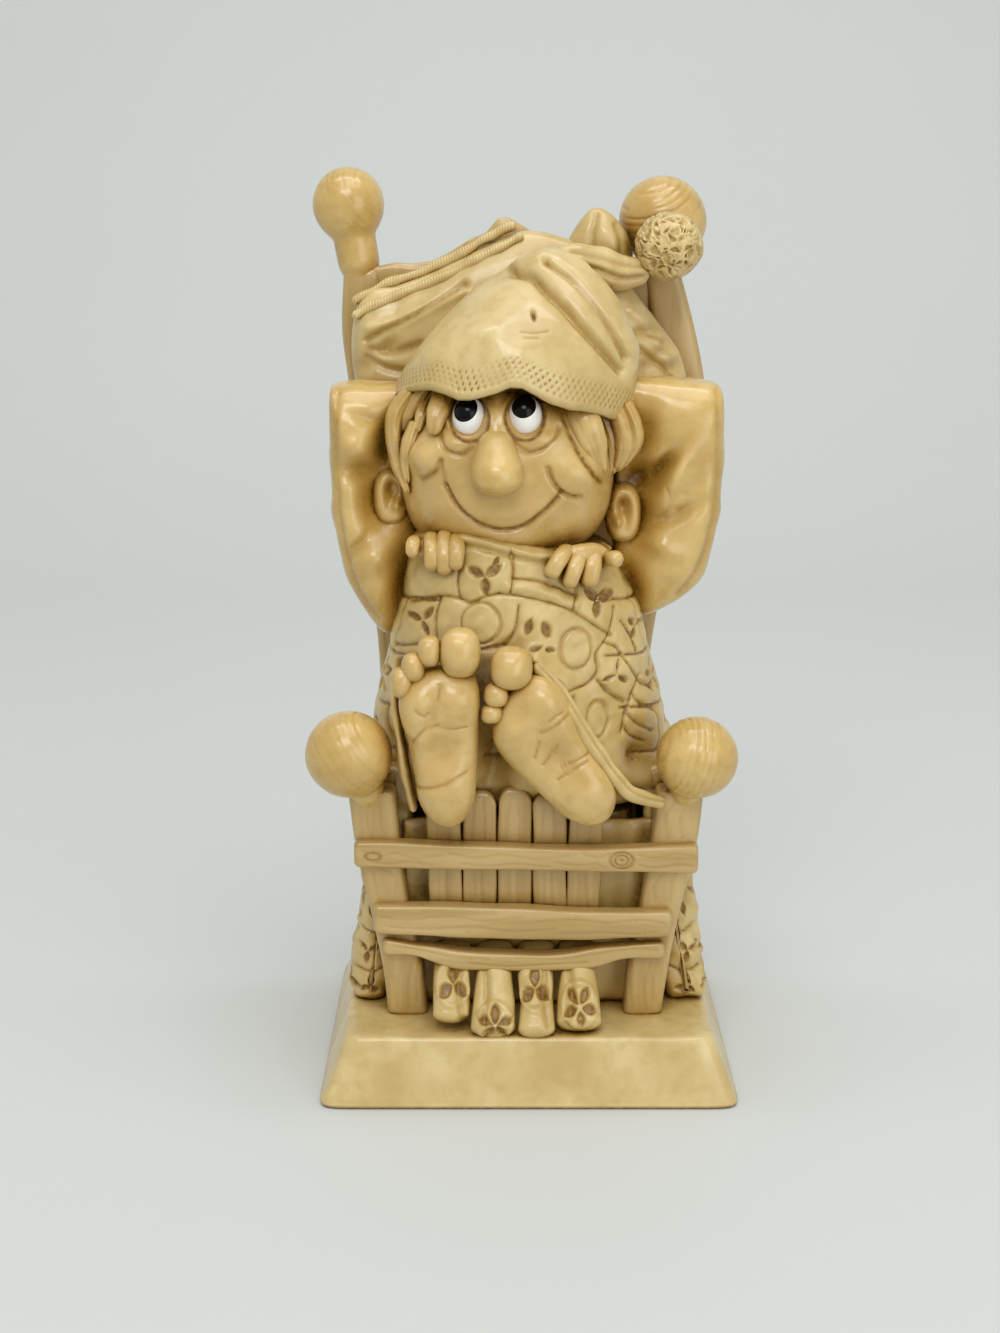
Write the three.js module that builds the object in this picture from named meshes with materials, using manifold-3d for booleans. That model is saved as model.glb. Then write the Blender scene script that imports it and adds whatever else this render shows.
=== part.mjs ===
// A resin figurine: a sleeper in a nightcap, tucked up in a wooden bed that stands on a sloped plinth.
// Millimetres, +Z up, +X to the viewer's right. The viewer looks along +Y.
// The origin is the middle of the plinth's underside.
import * as THREE from 'three';
import { mergeVertices } from 'three/addons/utils/BufferGeometryUtils.js';
import Module from 'manifold-3d';

const wasm = await Module();
wasm.setup();

// Driving dimensions, in millimetres and degrees

// Clear gap that is left between any two neighbouring pieces
const GAP = 0.3;

// Plinth
const BASE_WIDTH = 63;
const BASE_DEPTH = 56;
const BASE_HEIGHT = 10;
const BASE_SLOPE = 3.8;

// Footboard: leaning posts, three rails in front of them and slats behind the rails
const FOOT_POST_HEIGHT = 35;
const FOOT_POST_WIDTH = 6.6;
const FOOT_POST_DEPTH = 5;
const FOOT_SETBACK = 14.5;
const FOOT_INSET = 13.3;
const FOOT_LEAN = 4.7;
const FOOT_POST_Y = FOOT_SETBACK - BASE_DEPTH / 2;
const FOOT_SPREAD_BOTTOM = BASE_WIDTH / 2 - FOOT_INSET;
const FOOT_SPREAD_TOP = FOOT_SPREAD_BOTTOM + FOOT_LEAN;
const RAIL_THICKNESS = 3;
const RAIL_HOUSING = 1;
const RAIL_OVERHANG = 2.6;
const TOP_RAIL_LENGTH = 2 * (FOOT_SPREAD_TOP + RAIL_OVERHANG);
const TOP_RAIL_HEIGHT = 4.2;
const TOP_RAIL_LIFT = 24.1;
const MIDDLE_RAIL_LENGTH = 2 * FOOT_SPREAD_TOP;
const MIDDLE_RAIL_HEIGHT = 5;
const MIDDLE_RAIL_LIFT = 13.6;
const BOTTOM_RAIL_LENGTH = 2 * (FOOT_SPREAD_BOTTOM + RAIL_OVERHANG) + GAP;
const BOTTOM_RAIL_HEIGHT = 3.3;
const BOTTOM_RAIL_LIFT = 9.6;
const BOTTOM_RAIL_BELLY = 1.3;
const SLAT_COUNT = 5;
const SLAT_WIDTH = 5;
const SLAT_PITCH = 5.3;
const SLAT_THICKNESS = 2.4;
const SLAT_TOP = 35.6;
const SLAT_OFFSET = -2.1;

// Headboard: posts whose tops bend to the viewer's left, and a crested panel between them
const HEAD_POST_HEIGHT = 111;
const HEAD_POST_WIDTH = 7.2;
const HEAD_POST_DEPTH = 6;
const HEAD_SETBACK = 8;
const HEAD_INSET = 7;
const HEAD_POST_Y = BASE_DEPTH / 2 - HEAD_SETBACK;
const HEAD_SPREAD = BASE_WIDTH / 2 - HEAD_INSET;
const HEAD_WAIST_HEIGHT = 54;
const HEAD_BEND_HEIGHT = 92;
// How far out each post stands at its foot, waist and bend, as shares of the spread
const HEAD_LEFT_SHARES = [0.755, 0.865, 1.01];
const HEAD_RIGHT_SHARES = [0.633, 0.714, 1.02];
const HEAD_BEND_LEFT = 1.8;
const HEAD_BEND_RIGHT = 3.4;
const PANEL_THICKNESS = 3.6;
const PANEL_SHOULDER = 111;
const PANEL_CREST = 119;
const PANEL_CREST_X = -3.5;

// Ball finials: radius, and how far each ball's middle stands out, forward and up from its post's top
const FINIAL_NECK = 3.1;
const FOOT_FINIAL_LEFT = { radius: 6.5, out: 3.9, forward: 3.2, rise: 7 };
const FOOT_FINIAL_RIGHT = { radius: 6.1, out: 2, forward: 3.2, rise: 6.5 };
const HEAD_FINIAL_LEFT = { radius: 5.7, out: 1.8, forward: 0, rise: 10.1 };
const HEAD_FINIAL_RIGHT = { radius: 6.9, out: 0, forward: 1.5, rise: 7.6 };

// Mattress and the quilt that hangs over it
const MATTRESS_HEIGHT = 30;
const MATTRESS_CLEAR = 5;
const QUILT_INSET = 8.5;
const QUILT_WIDTH = BASE_WIDTH - 2 * QUILT_INSET;
const QUILT_DEPTH = 33;
const QUILT_TOP_WIDTH = 30.6;
const QUILT_RISE = 41.5;
// Rows of patches: their height, the lowest seam over the mattress, and how far a seam is drawn in
const QUILT_ROW = 7.6;
const QUILT_FIRST_SEAM = 4.6;
const QUILT_PUFF = 0.5;
const SKIRT_HEIGHT = 38;
const SKIRT_THICKNESS = 6.5;
const SKIRT_FLARE = 4.4;
const SKIRT_WAVE = 0.6;
const SKIRT_FOLD_PITCH = 7.4;
// How far behind the skirt's front end its first fold begins to rise, as a share of the pitch
const SKIRT_FOLD_START = 0.18;
const FOOT_DROP_THICKNESS = 2.4;
const HEM_FOLD_RADIUS = 3.2;
const HEM_FOLD_PITCH = 6.4;
const HEM_FOLD_COUNT = 4;
const HEM_FOLD_REACH = 13;
const BORDER_RADIUS = 1.2;

// Feet, with the soles towards the viewer
const FOOT_LENGTH = 23;
const FOOT_THICKNESS = 8;
const HEEL_WIDTH = 9;
const BALL_WIDTH = 12.4;
const LEFT_HEEL = [-12.6, 2.4];
const RIGHT_HEEL = [9.8, 3.2];
const RIGHT_FOOT_TURN = 30;
const BIG_TOE = 3;
const LITTLE_TOE = 1.7;

// Head and face
const HEAD_WIDTH = 32.4;
const HEAD_DEPTH = 28;
const HEAD_HEIGHT = 29;
const HEAD_X = -3.3;
const HEAD_RISE = 52.5;
const FACE_POWER = 2.5;
const FACE_TURN = -1.5;
const EYE_RADIUS = 2.7;
const EYE_SPACING = 8.2;
const EYE_LIFT = 9.2;
const EYE_SINK = 0.9;
const PUPIL_RADIUS = 1.9;
const NOSE_RADIUS = 4.2;
const NOSE_LENGTH = 7.4;
const NOSE_LIFT = 1.6;
const EAR_HEIGHT = 8.3;
const EAR_WIDTH = 4.8;
const EAR_DROP = 5.6;
const LOCK_RADIUS = 1.9;

// Nightcap
const CAP_WIDTH = 37.4;
const CAP_DEPTH = 35;
const CAP_BAND = 5.4;
const CAP_TILT = 26;
const CAP_ROLL = 7;
const CAP_LIFT = 6.2;
const CAP_RISE = 25;
const CAP_FOLD_RADIUS = 2.2;
const TAIL_LENGTH = 14;
const TAIL_RADIUS = 3;
const POMPOM_RADIUS = 5;

// Pillow
const PILLOW_WIDTH = 53;
const PILLOW_HEIGHT = 39.6;
const PILLOW_THICKNESS = 12;
const PILLOW_LIFT = 15.5;
const PILLOW_SINK = 1.5;
const PILLOW_CORNER = 6.5;
const CORD_RADIUS = 1.1;

// Arms folded behind the head, and the hands on the quilt's edge
const SLEEVE_DEPTH = 16.6;
const SLEEVE_POINT_COUNT = 26;
const SLEEVE_POWER = 3.4;
// Each sleeve's width and length, how far its inner edge lies behind the head's side, and how high its elbow
// stands over the head's middle
const LEFT_SLEEVE = { width: 13, length: 38.4, tuck: 2.6, elbow: 12.9 };
const RIGHT_SLEEVE = { width: 16.4, length: 36.3, tuck: 0, elbow: 13.6 };
const FINGER_RADIUS = 1.2;
const FINGER_PITCH = 2.05;
const FINGER_LENGTH = 4.6;

// Finishes

const resin = (color, roughness) => new THREE.MeshStandardMaterial({ color, roughness, metalness: 0 });
const CREAM_RESIN = resin(0xd9c08a, 0.35);
const AMBER_RESIN = resin(0xcfa767, 0.32);
const SKIN_RESIN = resin(0xd6b67a, 0.34);
const QUILT_RESIN = resin(0xc8b07b, 0.42);
const EYE_WHITE = resin(0xf2f0ec, 0.2);
const EYE_BLACK = resin(0x0b0a0a, 0.15);

// Forms

const vector = (values) => new THREE.Vector3(...values);
const degrees = THREE.MathUtils.degToRad;
const UP = [0, 0, 1];

// Closed skin over a stack of rings with equal counts of points. Each end is a fan about its ring's middle.
function skin(rings) {
  const count = rings[0].length;
  const middles = [rings[0], rings.at(-1)].map((ring) =>
    ring.reduce((sum, point) => sum.add(point), new THREE.Vector3()).divideScalar(count),
  );
  const points = [...rings.flat(), ...middles];
  const [first, last] = [points.length - 2, points.length - 1];
  const top = (rings.length - 1) * count;
  const faces = [];
  for (let side = 0; side < count; side++) {
    const next = (side + 1) % count;
    for (let row = 0; row < top; row += count) {
      faces.push(row + side, row + next, row + count + next);
      faces.push(row + side, row + count + next, row + count + side);
    }
    faces.push(first, next, side, last, top + side, top + next);
  }
  return new THREE.BufferGeometry().setFromPoints(points).setIndex(faces);
}

// Profile carried along a path. Each section gives its middle, its two half widths, the way it faces and
// the power of its superellipse, and the sections between are read off smooth curves.
// dome is the power that rounds off both ends, and without it they are flat.
function loft(sections, { sides = 16, steps = 8, power = 2, dome = 0, across = [1, 0, 0] } = {}) {
  const track = (read) => new THREE.CatmullRomCurve3(sections.map(read), false, 'catmullrom', 0.5);
  const middles = track((section) => vector(section.at));
  const halves = track((section) => vector([...section.half, 0]));
  const facings = track((section) => vector(section.facing ?? UP));
  const rings = [];
  const end = dome ? 1 : 0;
  for (let step = end; step <= steps - end; step++) {
    const t = dome ? (1 - Math.cos((Math.PI * step) / steps)) / 2 : step / steps;
    const swell = dome ? (1 - Math.abs(2 * t - 1) ** dome) ** (1 / dome) : 1;
    const normal = facings.getPoint(t).normalize();
    const right = vector(across).projectOnPlane(normal).normalize();
    const ahead = new THREE.Vector3().crossVectors(normal, right);
    const half = halves.getPoint(t).multiplyScalar(swell);
    const middle = middles.getPoint(t);
    rings.push(superellipse(half.x, half.y, power, sides).map(([a, b]) =>
      middle.clone().addScaledVector(right, a).addScaledVector(ahead, b),
    ));
  }
  return skin(rings);
}

// Points of |x / a|^power + |y / b|^power = 1, counter-clockwise
function superellipse(a, b, power, sides) {
  const bulge = (value) => Math.sign(value) * Math.abs(value) ** (2 / power);
  return Array.from({ length: sides }, (_, index) => {
    const angle = (2 * Math.PI * index) / sides;
    return [a * bulge(Math.cos(angle)), b * bulge(Math.sin(angle))];
  });
}

// Rounded body about the origin, from ball (power 2) to soft box (power 4 and more)
function blob([a, b, c], power = 2, { sides = 14, steps = 8 } = {}) {
  const sections = [-c, c].map((z) => ({ at: [0, 0, z], half: [a, b] }));
  return loft(sections, { sides, steps, power, dome: power });
}

// Round tube through points, with one radius for each point and rounded ends
function tube(points, radii, { sides = 8, steps = 7, flat = 1, across = [1, 0, 0] } = {}) {
  const path = new THREE.CatmullRomCurve3(points.map(vector), false, 'catmullrom', 0.5);
  const sections = points.map((at, index) => ({
    at,
    half: [radii[index], radii[index] * flat],
    facing: path.getTangent(index / (points.length - 1)).toArray(),
  }));
  return loft(sections, { sides, steps, dome: 4, across });
}

// Board cut to an outline in the XZ plane, with its front face at y = 0 and its thickness behind it
function board(outline, thickness) {
  const points = () => outline.map(([x, z]) => new THREE.Vector2(x, z));
  const shape = outline instanceof THREE.Shape ? outline : new THREE.Shape(points());
  const sheet = { depth: thickness, bevelEnabled: false, curveSegments: 6 };
  const plate = new THREE.ExtrudeGeometry(shape, sheet);
  return plate.rotateX(Math.PI / 2).translate(0, thickness, 0);
}

// Solids

// Position-only copy with shared vertices, which is what a solid is made from
function welded(geometry) {
  const bare = geometry.clone();
  bare.deleteAttribute('normal');
  bare.deleteAttribute('uv');
  return mergeVertices(bare, 1e-4);
}

function solidOf(geometry) {
  const merged = welded(geometry);
  return new wasm.Manifold(new wasm.Mesh({
    numProp: 3,
    vertProperties: new Float32Array(merged.attributes.position.array),
    triVerts: new Uint32Array(merged.index.array),
  }));
}

function geometryOf(solid) {
  const mesh = solid.getMesh();
  return new THREE.BufferGeometry()
    .setAttribute('position', new THREE.BufferAttribute(mesh.vertProperties, 3))
    .setIndex(new THREE.BufferAttribute(mesh.triVerts, 1));
}

const joined = (geometries) => geometryOf(geometries.map(solidOf).reduce((whole, next) => whole.add(next)));

// The same form with every vertex moved out along its normal
function grown(geometry, distance) {
  const swollen = welded(geometry);
  swollen.computeVertexNormals();
  const { position, normal } = swollen.attributes;
  const point = new THREE.Vector3();
  const outward = new THREE.Vector3();
  for (let index = 0; index < position.count; index++) {
    outward.fromBufferAttribute(normal, index);
    point.fromBufferAttribute(position, index).addScaledVector(outward, distance);
    position.setXYZ(index, ...point);
  }
  return swollen;
}

// Trims each mesh of the scene so that it gives way, with the gap, to every mesh before it
function giveWay(root) {
  root.updateMatrixWorld(true);
  const meshes = [];
  root.traverse((object) => object.isMesh && meshes.push(object));
  const earlier = [];
  for (const mesh of meshes) {
    const form = welded(mesh.geometry).applyMatrix4(mesh.matrixWorld);
    const swollen = grown(form, GAP * 1.15);
    swollen.computeBoundingBox();
    let solid = solidOf(form);
    for (const other of earlier) {
      if (other.box.intersectsBox(swollen.boundingBox)) solid = solid.subtract(other.solid);
    }
    const [body] = solid.simplify(GAP * 0.1).decompose().sort((a, b) => b.volume() - a.volume());
    mesh.geometry = geometryOf(body).applyMatrix4(mesh.matrixWorld.clone().invert());
    earlier.push({ solid: solidOf(swollen).add(solidOf(form)), box: swollen.boundingBox });
  }
  return root;
}

// Assembly

function piece(group, name, geometry, material, position = [0, 0, 0], turn = [0, 0, 0]) {
  const mesh = new THREE.Mesh(geometry, material);
  mesh.name = name;
  mesh.position.set(...position);
  mesh.rotation.set(...turn.map(degrees));
  group.add(mesh);
  return mesh;
}

function groupAt(parent, position, turn = [0, 0, 0]) {
  const group = new THREE.Group();
  group.position.set(...position);
  group.rotation.set(...turn.map(degrees));
  parent.add(group);
  return group;
}

// Plinth: a box whose top edges are drawn in by the slope
function addPlinth(root) {
  const box = new THREE.BoxGeometry(BASE_WIDTH, BASE_DEPTH, BASE_HEIGHT).translate(0, 0, BASE_HEIGHT / 2);
  const { position } = box.attributes;
  for (let index = 0; index < position.count; index++) {
    if (position.getZ(index) < BASE_HEIGHT / 2) continue;
    position.setX(index, position.getX(index) - Math.sign(position.getX(index)) * BASE_SLOPE);
    position.setY(index, position.getY(index) - Math.sign(position.getY(index)) * BASE_SLOPE);
  }
  piece(root, 'base_plinth', box, CREAM_RESIN);
}

// Ball on a neck, standing on the point where its post ends
function addFinial(bed, name, [x, y, z], finial, side) {
  const axis = new THREE.Vector3(side * finial.out, -finial.forward, finial.rise);
  const height = axis.length();
  const neckAngle = Math.asin(FINIAL_NECK / finial.radius);
  const profile = [[0, 0], [FINIAL_NECK, 0]].map(([r, h]) => new THREE.Vector2(r, h));
  for (let step = 0; step <= 8; step++) {
    const angle = neckAngle + ((Math.PI - neckAngle) * step) / 8;
    const r = step === 8 ? 0 : finial.radius * Math.sin(angle);
    profile.push(new THREE.Vector2(r, height - finial.radius * Math.cos(angle)));
  }
  const ball = new THREE.LatheGeometry(profile, 14).rotateX(Math.PI / 2);
  ball.applyQuaternion(new THREE.Quaternion().setFromUnitVectors(vector(UP), axis.normalize()));
  piece(bed, name, ball, AMBER_RESIN, [x, y, z]);
}

// Square post through points, with a flat foot and a flat top
function post(points, width, depth) {
  const sections = points.map((at) => ({ at, half: [width / 2, depth / 2] }));
  return loft(sections, { sides: 12, steps: 3 * (points.length - 1), power: 5 });
}

function addFootboard(bed) {
  const railFront = FOOT_POST_Y - FOOT_POST_DEPTH / 2 - RAIL_THICKNESS + RAIL_HOUSING;
  const rail = (name, length, lift, height, belly) => {
    const half = length / 2;
    const outline = [
      [-half, lift], [-half * 0.8, lift], [-half * 0.62, lift - belly],
      [half * 0.62, lift - belly], [half * 0.8, lift], [half, lift],
      [half, lift + height], [-half, lift + height],
    ];
    const plain = outline.filter(([x]) => belly || Math.abs(x) === half);
    piece(bed, name, board(plain, RAIL_THICKNESS), CREAM_RESIN, [0, railFront, 0]);
  };
  rail('footboard_rail_top', TOP_RAIL_LENGTH, TOP_RAIL_LIFT, TOP_RAIL_HEIGHT, 0);
  rail('footboard_rail_middle', MIDDLE_RAIL_LENGTH, MIDDLE_RAIL_LIFT, MIDDLE_RAIL_HEIGHT, 0);
  rail('footboard_rail_bottom', BOTTOM_RAIL_LENGTH, BOTTOM_RAIL_LIFT, BOTTOM_RAIL_HEIGHT, BOTTOM_RAIL_BELLY);

  for (const [side, word, finial] of [[-1, 'left', FOOT_FINIAL_LEFT], [1, 'right', FOOT_FINIAL_RIGHT]]) {
    const top = [side * FOOT_SPREAD_TOP, FOOT_POST_Y, FOOT_POST_HEIGHT];
    addFinial(bed, `footboard_finial_${word}`, top, finial, side);
    const bottom = [side * FOOT_SPREAD_BOTTOM, FOOT_POST_Y, 0];
    const upright = post([bottom, top], FOOT_POST_WIDTH, FOOT_POST_DEPTH);
    piece(bed, `footboard_post_${word}`, upright, CREAM_RESIN);
  }

  const slatFront = railFront + RAIL_THICKNESS + GAP;
  const slatBottom = MIDDLE_RAIL_LIFT + GAP;
  const half = SLAT_WIDTH / 2;
  for (let index = 0; index < SLAT_COUNT; index++) {
    const outline = new THREE.Shape();
    outline.moveTo(-half, slatBottom).lineTo(half, slatBottom).lineTo(half, SLAT_TOP - half);
    outline.absellipse(0, SLAT_TOP - half, half, half, 0, Math.PI);
    const x = SLAT_OFFSET + (index - (SLAT_COUNT - 1) / 2) * SLAT_PITCH;
    piece(bed, `footboard_slat_${index + 1}`, board(outline, SLAT_THICKNESS), CREAM_RESIN, [x, slatFront, 0]);
  }
}

function addHeadboard(bed) {
  const heights = [0, HEAD_WAIST_HEIGHT, HEAD_BEND_HEIGHT];
  const edges = {};
  for (const [side, word, shares, bend, finial] of [
    [-1, 'left', HEAD_LEFT_SHARES, -HEAD_BEND_LEFT, HEAD_FINIAL_LEFT],
    [1, 'right', HEAD_RIGHT_SHARES, -HEAD_BEND_RIGHT, HEAD_FINIAL_RIGHT]]) {
    const top = [side * HEAD_SPREAD + bend, HEAD_POST_Y, HEAD_POST_HEIGHT];
    addFinial(bed, `headboard_finial_${word}`, top, finial, side);
    edges[word] = shares.map((share) => side * share * HEAD_SPREAD);
    const path = [...edges[word].map((x, index) => [x, HEAD_POST_Y, heights[index]]), top];
    piece(bed, `headboard_post_${word}`, post(path, HEAD_POST_WIDTH, HEAD_POST_DEPTH), CREAM_RESIN);
  }
  const crest = new THREE.Shape();
  const [footLeft, waistLeft, bendLeft] = edges.left;
  const [footRight, waistRight, bendRight] = edges.right;
  const half = HEAD_SPREAD * 0.5;
  crest.moveTo(footLeft, GAP).lineTo(footRight, GAP);
  crest.lineTo(waistRight, HEAD_WAIST_HEIGHT).lineTo(bendRight, HEAD_BEND_HEIGHT);
  crest.lineTo(HEAD_SPREAD - HEAD_BEND_RIGHT, PANEL_SHOULDER);
  crest.bezierCurveTo(half, PANEL_SHOULDER, half * 0.6, PANEL_CREST, PANEL_CREST_X, PANEL_CREST);
  const shoulder = HEAD_SPREAD + HEAD_BEND_LEFT;
  crest.bezierCurveTo(-half, PANEL_CREST - 3, -half, PANEL_SHOULDER, -shoulder, PANEL_SHOULDER);
  crest.lineTo(bendLeft, HEAD_BEND_HEIGHT).lineTo(waistLeft, HEAD_WAIST_HEIGHT);
  const panel = board(crest, PANEL_THICKNESS);
  piece(bed, 'headboard_panel', panel, CREAM_RESIN, [0, HEAD_POST_Y - PANEL_THICKNESS / 2, 0]);
}

// Left and right are the viewer's. The soles face the viewer and the toes stand on top of them.
function addFeet(body, soleY) {
  const y = soleY + FOOT_THICKNESS / 2;
  const sole = (width, z) => ({ at: [0, 0, z], half: [width / 2, FOOT_THICKNESS / 2] });
  const foot = loft([
    sole(HEEL_WIDTH, 0),
    sole(HEEL_WIDTH, FOOT_LENGTH / 3),
    sole(BALL_WIDTH, (FOOT_LENGTH * 5) / 6),
    sole(BALL_WIDTH, FOOT_LENGTH),
  ], { sides: 14, steps: 8, power: 2.6, dome: 3.2 });
  // Each toe's place as a share of the ball's width, its height over the foot in big toes, and its radius
  const toes = {
    left: [
      [0.21, 0.9, BIG_TOE],
      [-0.155, 1.1, LITTLE_TOE],
      [-0.355, 0.04, LITTLE_TOE],
      [-0.5, -0.75, LITTLE_TOE],
    ],
    right: [[0.055, 1.05, BIG_TOE], [-0.25, 0.3, LITTLE_TOE], [-0.42, -0.42, LITTLE_TOE]],
  };
  const places = {
    left: [[LEFT_HEEL[0], y, LEFT_HEEL[1]], 0],
    right: [[RIGHT_HEEL[0], y, RIGHT_HEEL[1]], -RIGHT_FOOT_TURN],
  };
  for (const [word, [place, turn]] of Object.entries(places)) {
    const leg = groupAt(body, place, [0, turn, 0]);
    toes[word].forEach(([share, rise, radius], index) => {
      const name = index ? `toe_${word}_${index + 1}` : `toe_${word}_big`;
      const place = [share * BALL_WIDTH, -FOOT_THICKNESS / 8, FOOT_LENGTH + rise * BIG_TOE];
      piece(leg, name, blob([radius, radius, radius * 1.1], 2, { sides: 8, steps: 6 }), SKIN_RESIN, place);
    });
    piece(leg, `foot_${word}`, foot, SKIN_RESIN);
  }
}

// How far in front of the head's middle its surface lies, at a point of the face
function faceDepth(x, z) {
  const share = Math.abs(x / (HEAD_WIDTH / 2)) ** FACE_POWER + Math.abs(z / (HEAD_HEIGHT / 2)) ** FACE_POWER;
  return (HEAD_DEPTH / 2) * Math.max(0, 1 - share) ** (1 / FACE_POWER);
}

function addHead(head) {
  for (const [side, word] of [[-1, 'left'], [1, 'right']]) {
    const x = FACE_TURN + (side * EYE_SPACING) / 2;
    const y = EYE_SINK - faceDepth(x, EYE_LIFT);
    const pupil = blob([PUPIL_RADIUS, PUPIL_RADIUS * 0.5, PUPIL_RADIUS], 2, { sides: 10, steps: 6 });
    const look = [x, y - EYE_RADIUS * 0.86, EYE_LIFT + EYE_RADIUS * 0.3];
    piece(head, `pupil_${word}`, pupil, EYE_BLACK, look, [-18, 0, 0]);
    piece(head, `eye_${word}`, blob([EYE_RADIUS, EYE_RADIUS, EYE_RADIUS]), EYE_WHITE, [x, y, EYE_LIFT]);
  }
  const half = [HEAD_WIDTH / 2, HEAD_DEPTH / 2, HEAD_HEIGHT / 2];
  const skull = blob(half, FACE_POWER, { sides: 24, steps: 12 });
  piece(head, 'head', skull, SKIN_RESIN);

  const tip = [FACE_TURN, -faceDepth(FACE_TURN, NOSE_LIFT) - NOSE_RADIUS * 0.2, NOSE_LIFT];
  const bridge = [FACE_TURN, -faceDepth(FACE_TURN, NOSE_LIFT + NOSE_LENGTH), NOSE_LIFT + NOSE_LENGTH];
  const under = [tip[0], tip[1], tip[2] - NOSE_RADIUS * 0.9];
  const nose = loft([
    { at: under, half: [NOSE_RADIUS, NOSE_RADIUS * 0.9] },
    { at: tip, half: [NOSE_RADIUS, NOSE_RADIUS] },
    { at: bridge, half: [NOSE_RADIUS * 0.5, NOSE_RADIUS * 0.5] },
  ], { sides: 14, steps: 10, dome: 2.6 });
  piece(head, 'nose', nose, AMBER_RESIN);

  for (const [side, word] of [[-1, 'left'], [1, 'right']]) {
    const ear = blob([EAR_WIDTH / 2, EAR_WIDTH * 0.7, EAR_HEIGHT / 2]);
    const place = [side * (HEAD_WIDTH / 2 + EAR_WIDTH * 0.25), 0, -EAR_DROP];
    piece(head, `ear_${word}`, ear, SKIN_RESIN, place, [0, 0, -side * 20]);
  }
}

// Leaf-shaped locks that come out from under the cap's hem and lie on the face
function addHair(head) {
  const lock = (root, end, radius) => {
    const onBrow = ([x, z]) => [x, -(HEAD_DEPTH / 2) * Math.sqrt(1 - (x / (HEAD_WIDTH * 0.56)) ** 2), z];
    const middle = [(root[0] + end[0]) / 2, (root[1] + end[1]) / 2];
    const path = [onBrow(root), onBrow(middle), onBrow(end)];
    return tube(path, [radius, radius, radius * 0.4], { flat: 0.8, steps: 8 });
  };
  const top = EYE_LIFT + EYE_RADIUS;
  const side = HEAD_WIDTH / 2;
  const left = [
    [[-side * 0.59, top * 1.03], [-side * 0.74, top * 0.47], 1],
    [[-side * 0.78, top * 0.92], [-side * 0.93, top * 0.42], 0.95],
    [[-side * 0.88, top * 0.77], [-side * 0.99, -top * 0.34], 0.75],
  ];
  const right = [
    [[side * 0.54, top * 0.92], [side * 0.8, top * 0.04], 1.05],
    [[side * 0.74, top * 0.8], [side * 0.92, top * 0.03], 0.9],
    [[side * 0.95, top * 0.75], [side * 1.03, top * 0.08], 0.9],
  ];
  for (const [word, locks] of [['left', left], ['right', right]]) {
    const strands = locks.map(([root, end, share]) => lock(root, end, LOCK_RADIUS * share));
    piece(head, `hair_${word}`, joined(strands), CREAM_RESIN);
  }
}

// Nightcap: a knitted band round the brow, a crown that leans to the right, two hanging folds and a tail
function addNightcap(head) {
  const axis = vector(UP).applyEuler(new THREE.Euler(degrees(-CAP_TILT), degrees(CAP_ROLL), 0));
  const middle = vector([CAP_WIDTH * 0.027, CAP_DEPTH * 0.029, CAP_LIFT]);
  const along = (distance) => axis.clone().multiplyScalar(distance).add(middle).toArray();
  const hem = axis.toArray();
  const half = (share) => [(CAP_WIDTH / 2) * share, (CAP_DEPTH / 2) * share];
  const tip = [CAP_WIDTH * 0.198, CAP_DEPTH * 0.097, CAP_LIFT + CAP_RISE];
  const fromTip = ([x, y, z]) => [tip[0] + x * CAP_WIDTH, tip[1] + y * CAP_DEPTH, tip[2] + z * CAP_RISE];
  const towardsTip = (x, y, rise) => [tip[0] * x, tip[1] * y, CAP_LIFT + CAP_RISE * rise];

  const tailAt = (share, drop) => [
    tip[0] + TAIL_LENGTH * share,
    tip[1] + TAIL_LENGTH * share * 0.36,
    tip[2] - TAIL_LENGTH * drop,
  ];
  const tailEnd = tailAt(1, 0.21);
  const pompom = [tailEnd[0] + POMPOM_RADIUS * 0.65, tailEnd[1], tailEnd[2] + POMPOM_RADIUS * 0.85];
  piece(head, 'nightcap_pompom', blob([POMPOM_RADIUS, POMPOM_RADIUS, POMPOM_RADIUS]), CREAM_RESIN, pompom);

  const band = loft([
    { at: along(0), half: half(1.02), facing: hem },
    { at: along(CAP_BAND), half: half(0.96), facing: hem },
  ], { sides: 24, steps: 2, power: 2.2 });
  piece(head, 'nightcap_band', band, CREAM_RESIN);

  const crown = loft([
    { at: along(CAP_BAND + GAP), half: half(0.94), facing: hem },
    { at: along(CAP_BAND + CAP_RISE * 0.23), half: half(0.78), facing: [0.1, 0.25, 0.96] },
    { at: towardsTip(0.51, 0.82, 0.68), half: half(0.61), facing: [0.15, 0.1, 0.98] },
    { at: towardsTip(0.74, 0.91, 0.88), half: half(0.4), facing: [0.3, 0.05, 0.95] },
    { at: tip, half: half(0.18), facing: [0.6, 0.1, 0.8] },
  ], { sides: 20, steps: 10 });
  piece(head, 'nightcap_crown', crown, CREAM_RESIN);

  const foldRadii = [CAP_FOLD_RADIUS * 0.7, CAP_FOLD_RADIUS, CAP_FOLD_RADIUS * 0.6];
  const folds = [
    [[-0.075, -0.217, -0.1], [0.112, -0.251, -0.344], [0.273, -0.111, -0.68]],
    [[0.005, -0.114, 0], [0.193, -0.103, -0.28], [0.3, -0.011, -0.6]],
  ];
  folds.forEach((places, index) => {
    const fold = tube(places.map(fromTip), foldRadii, { steps: 8 });
    piece(head, `nightcap_fold_${index + 1}`, fold, CREAM_RESIN);
  });
  const tailRadii = [TAIL_RADIUS * 1.1, TAIL_RADIUS, TAIL_RADIUS * 0.8];
  const tail = tube([tip, tailAt(0.5, 0.17), tailEnd], tailRadii, { across: [0, 1, 0] });
  piece(head, 'nightcap_tail', tail, CREAM_RESIN);
}

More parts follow.
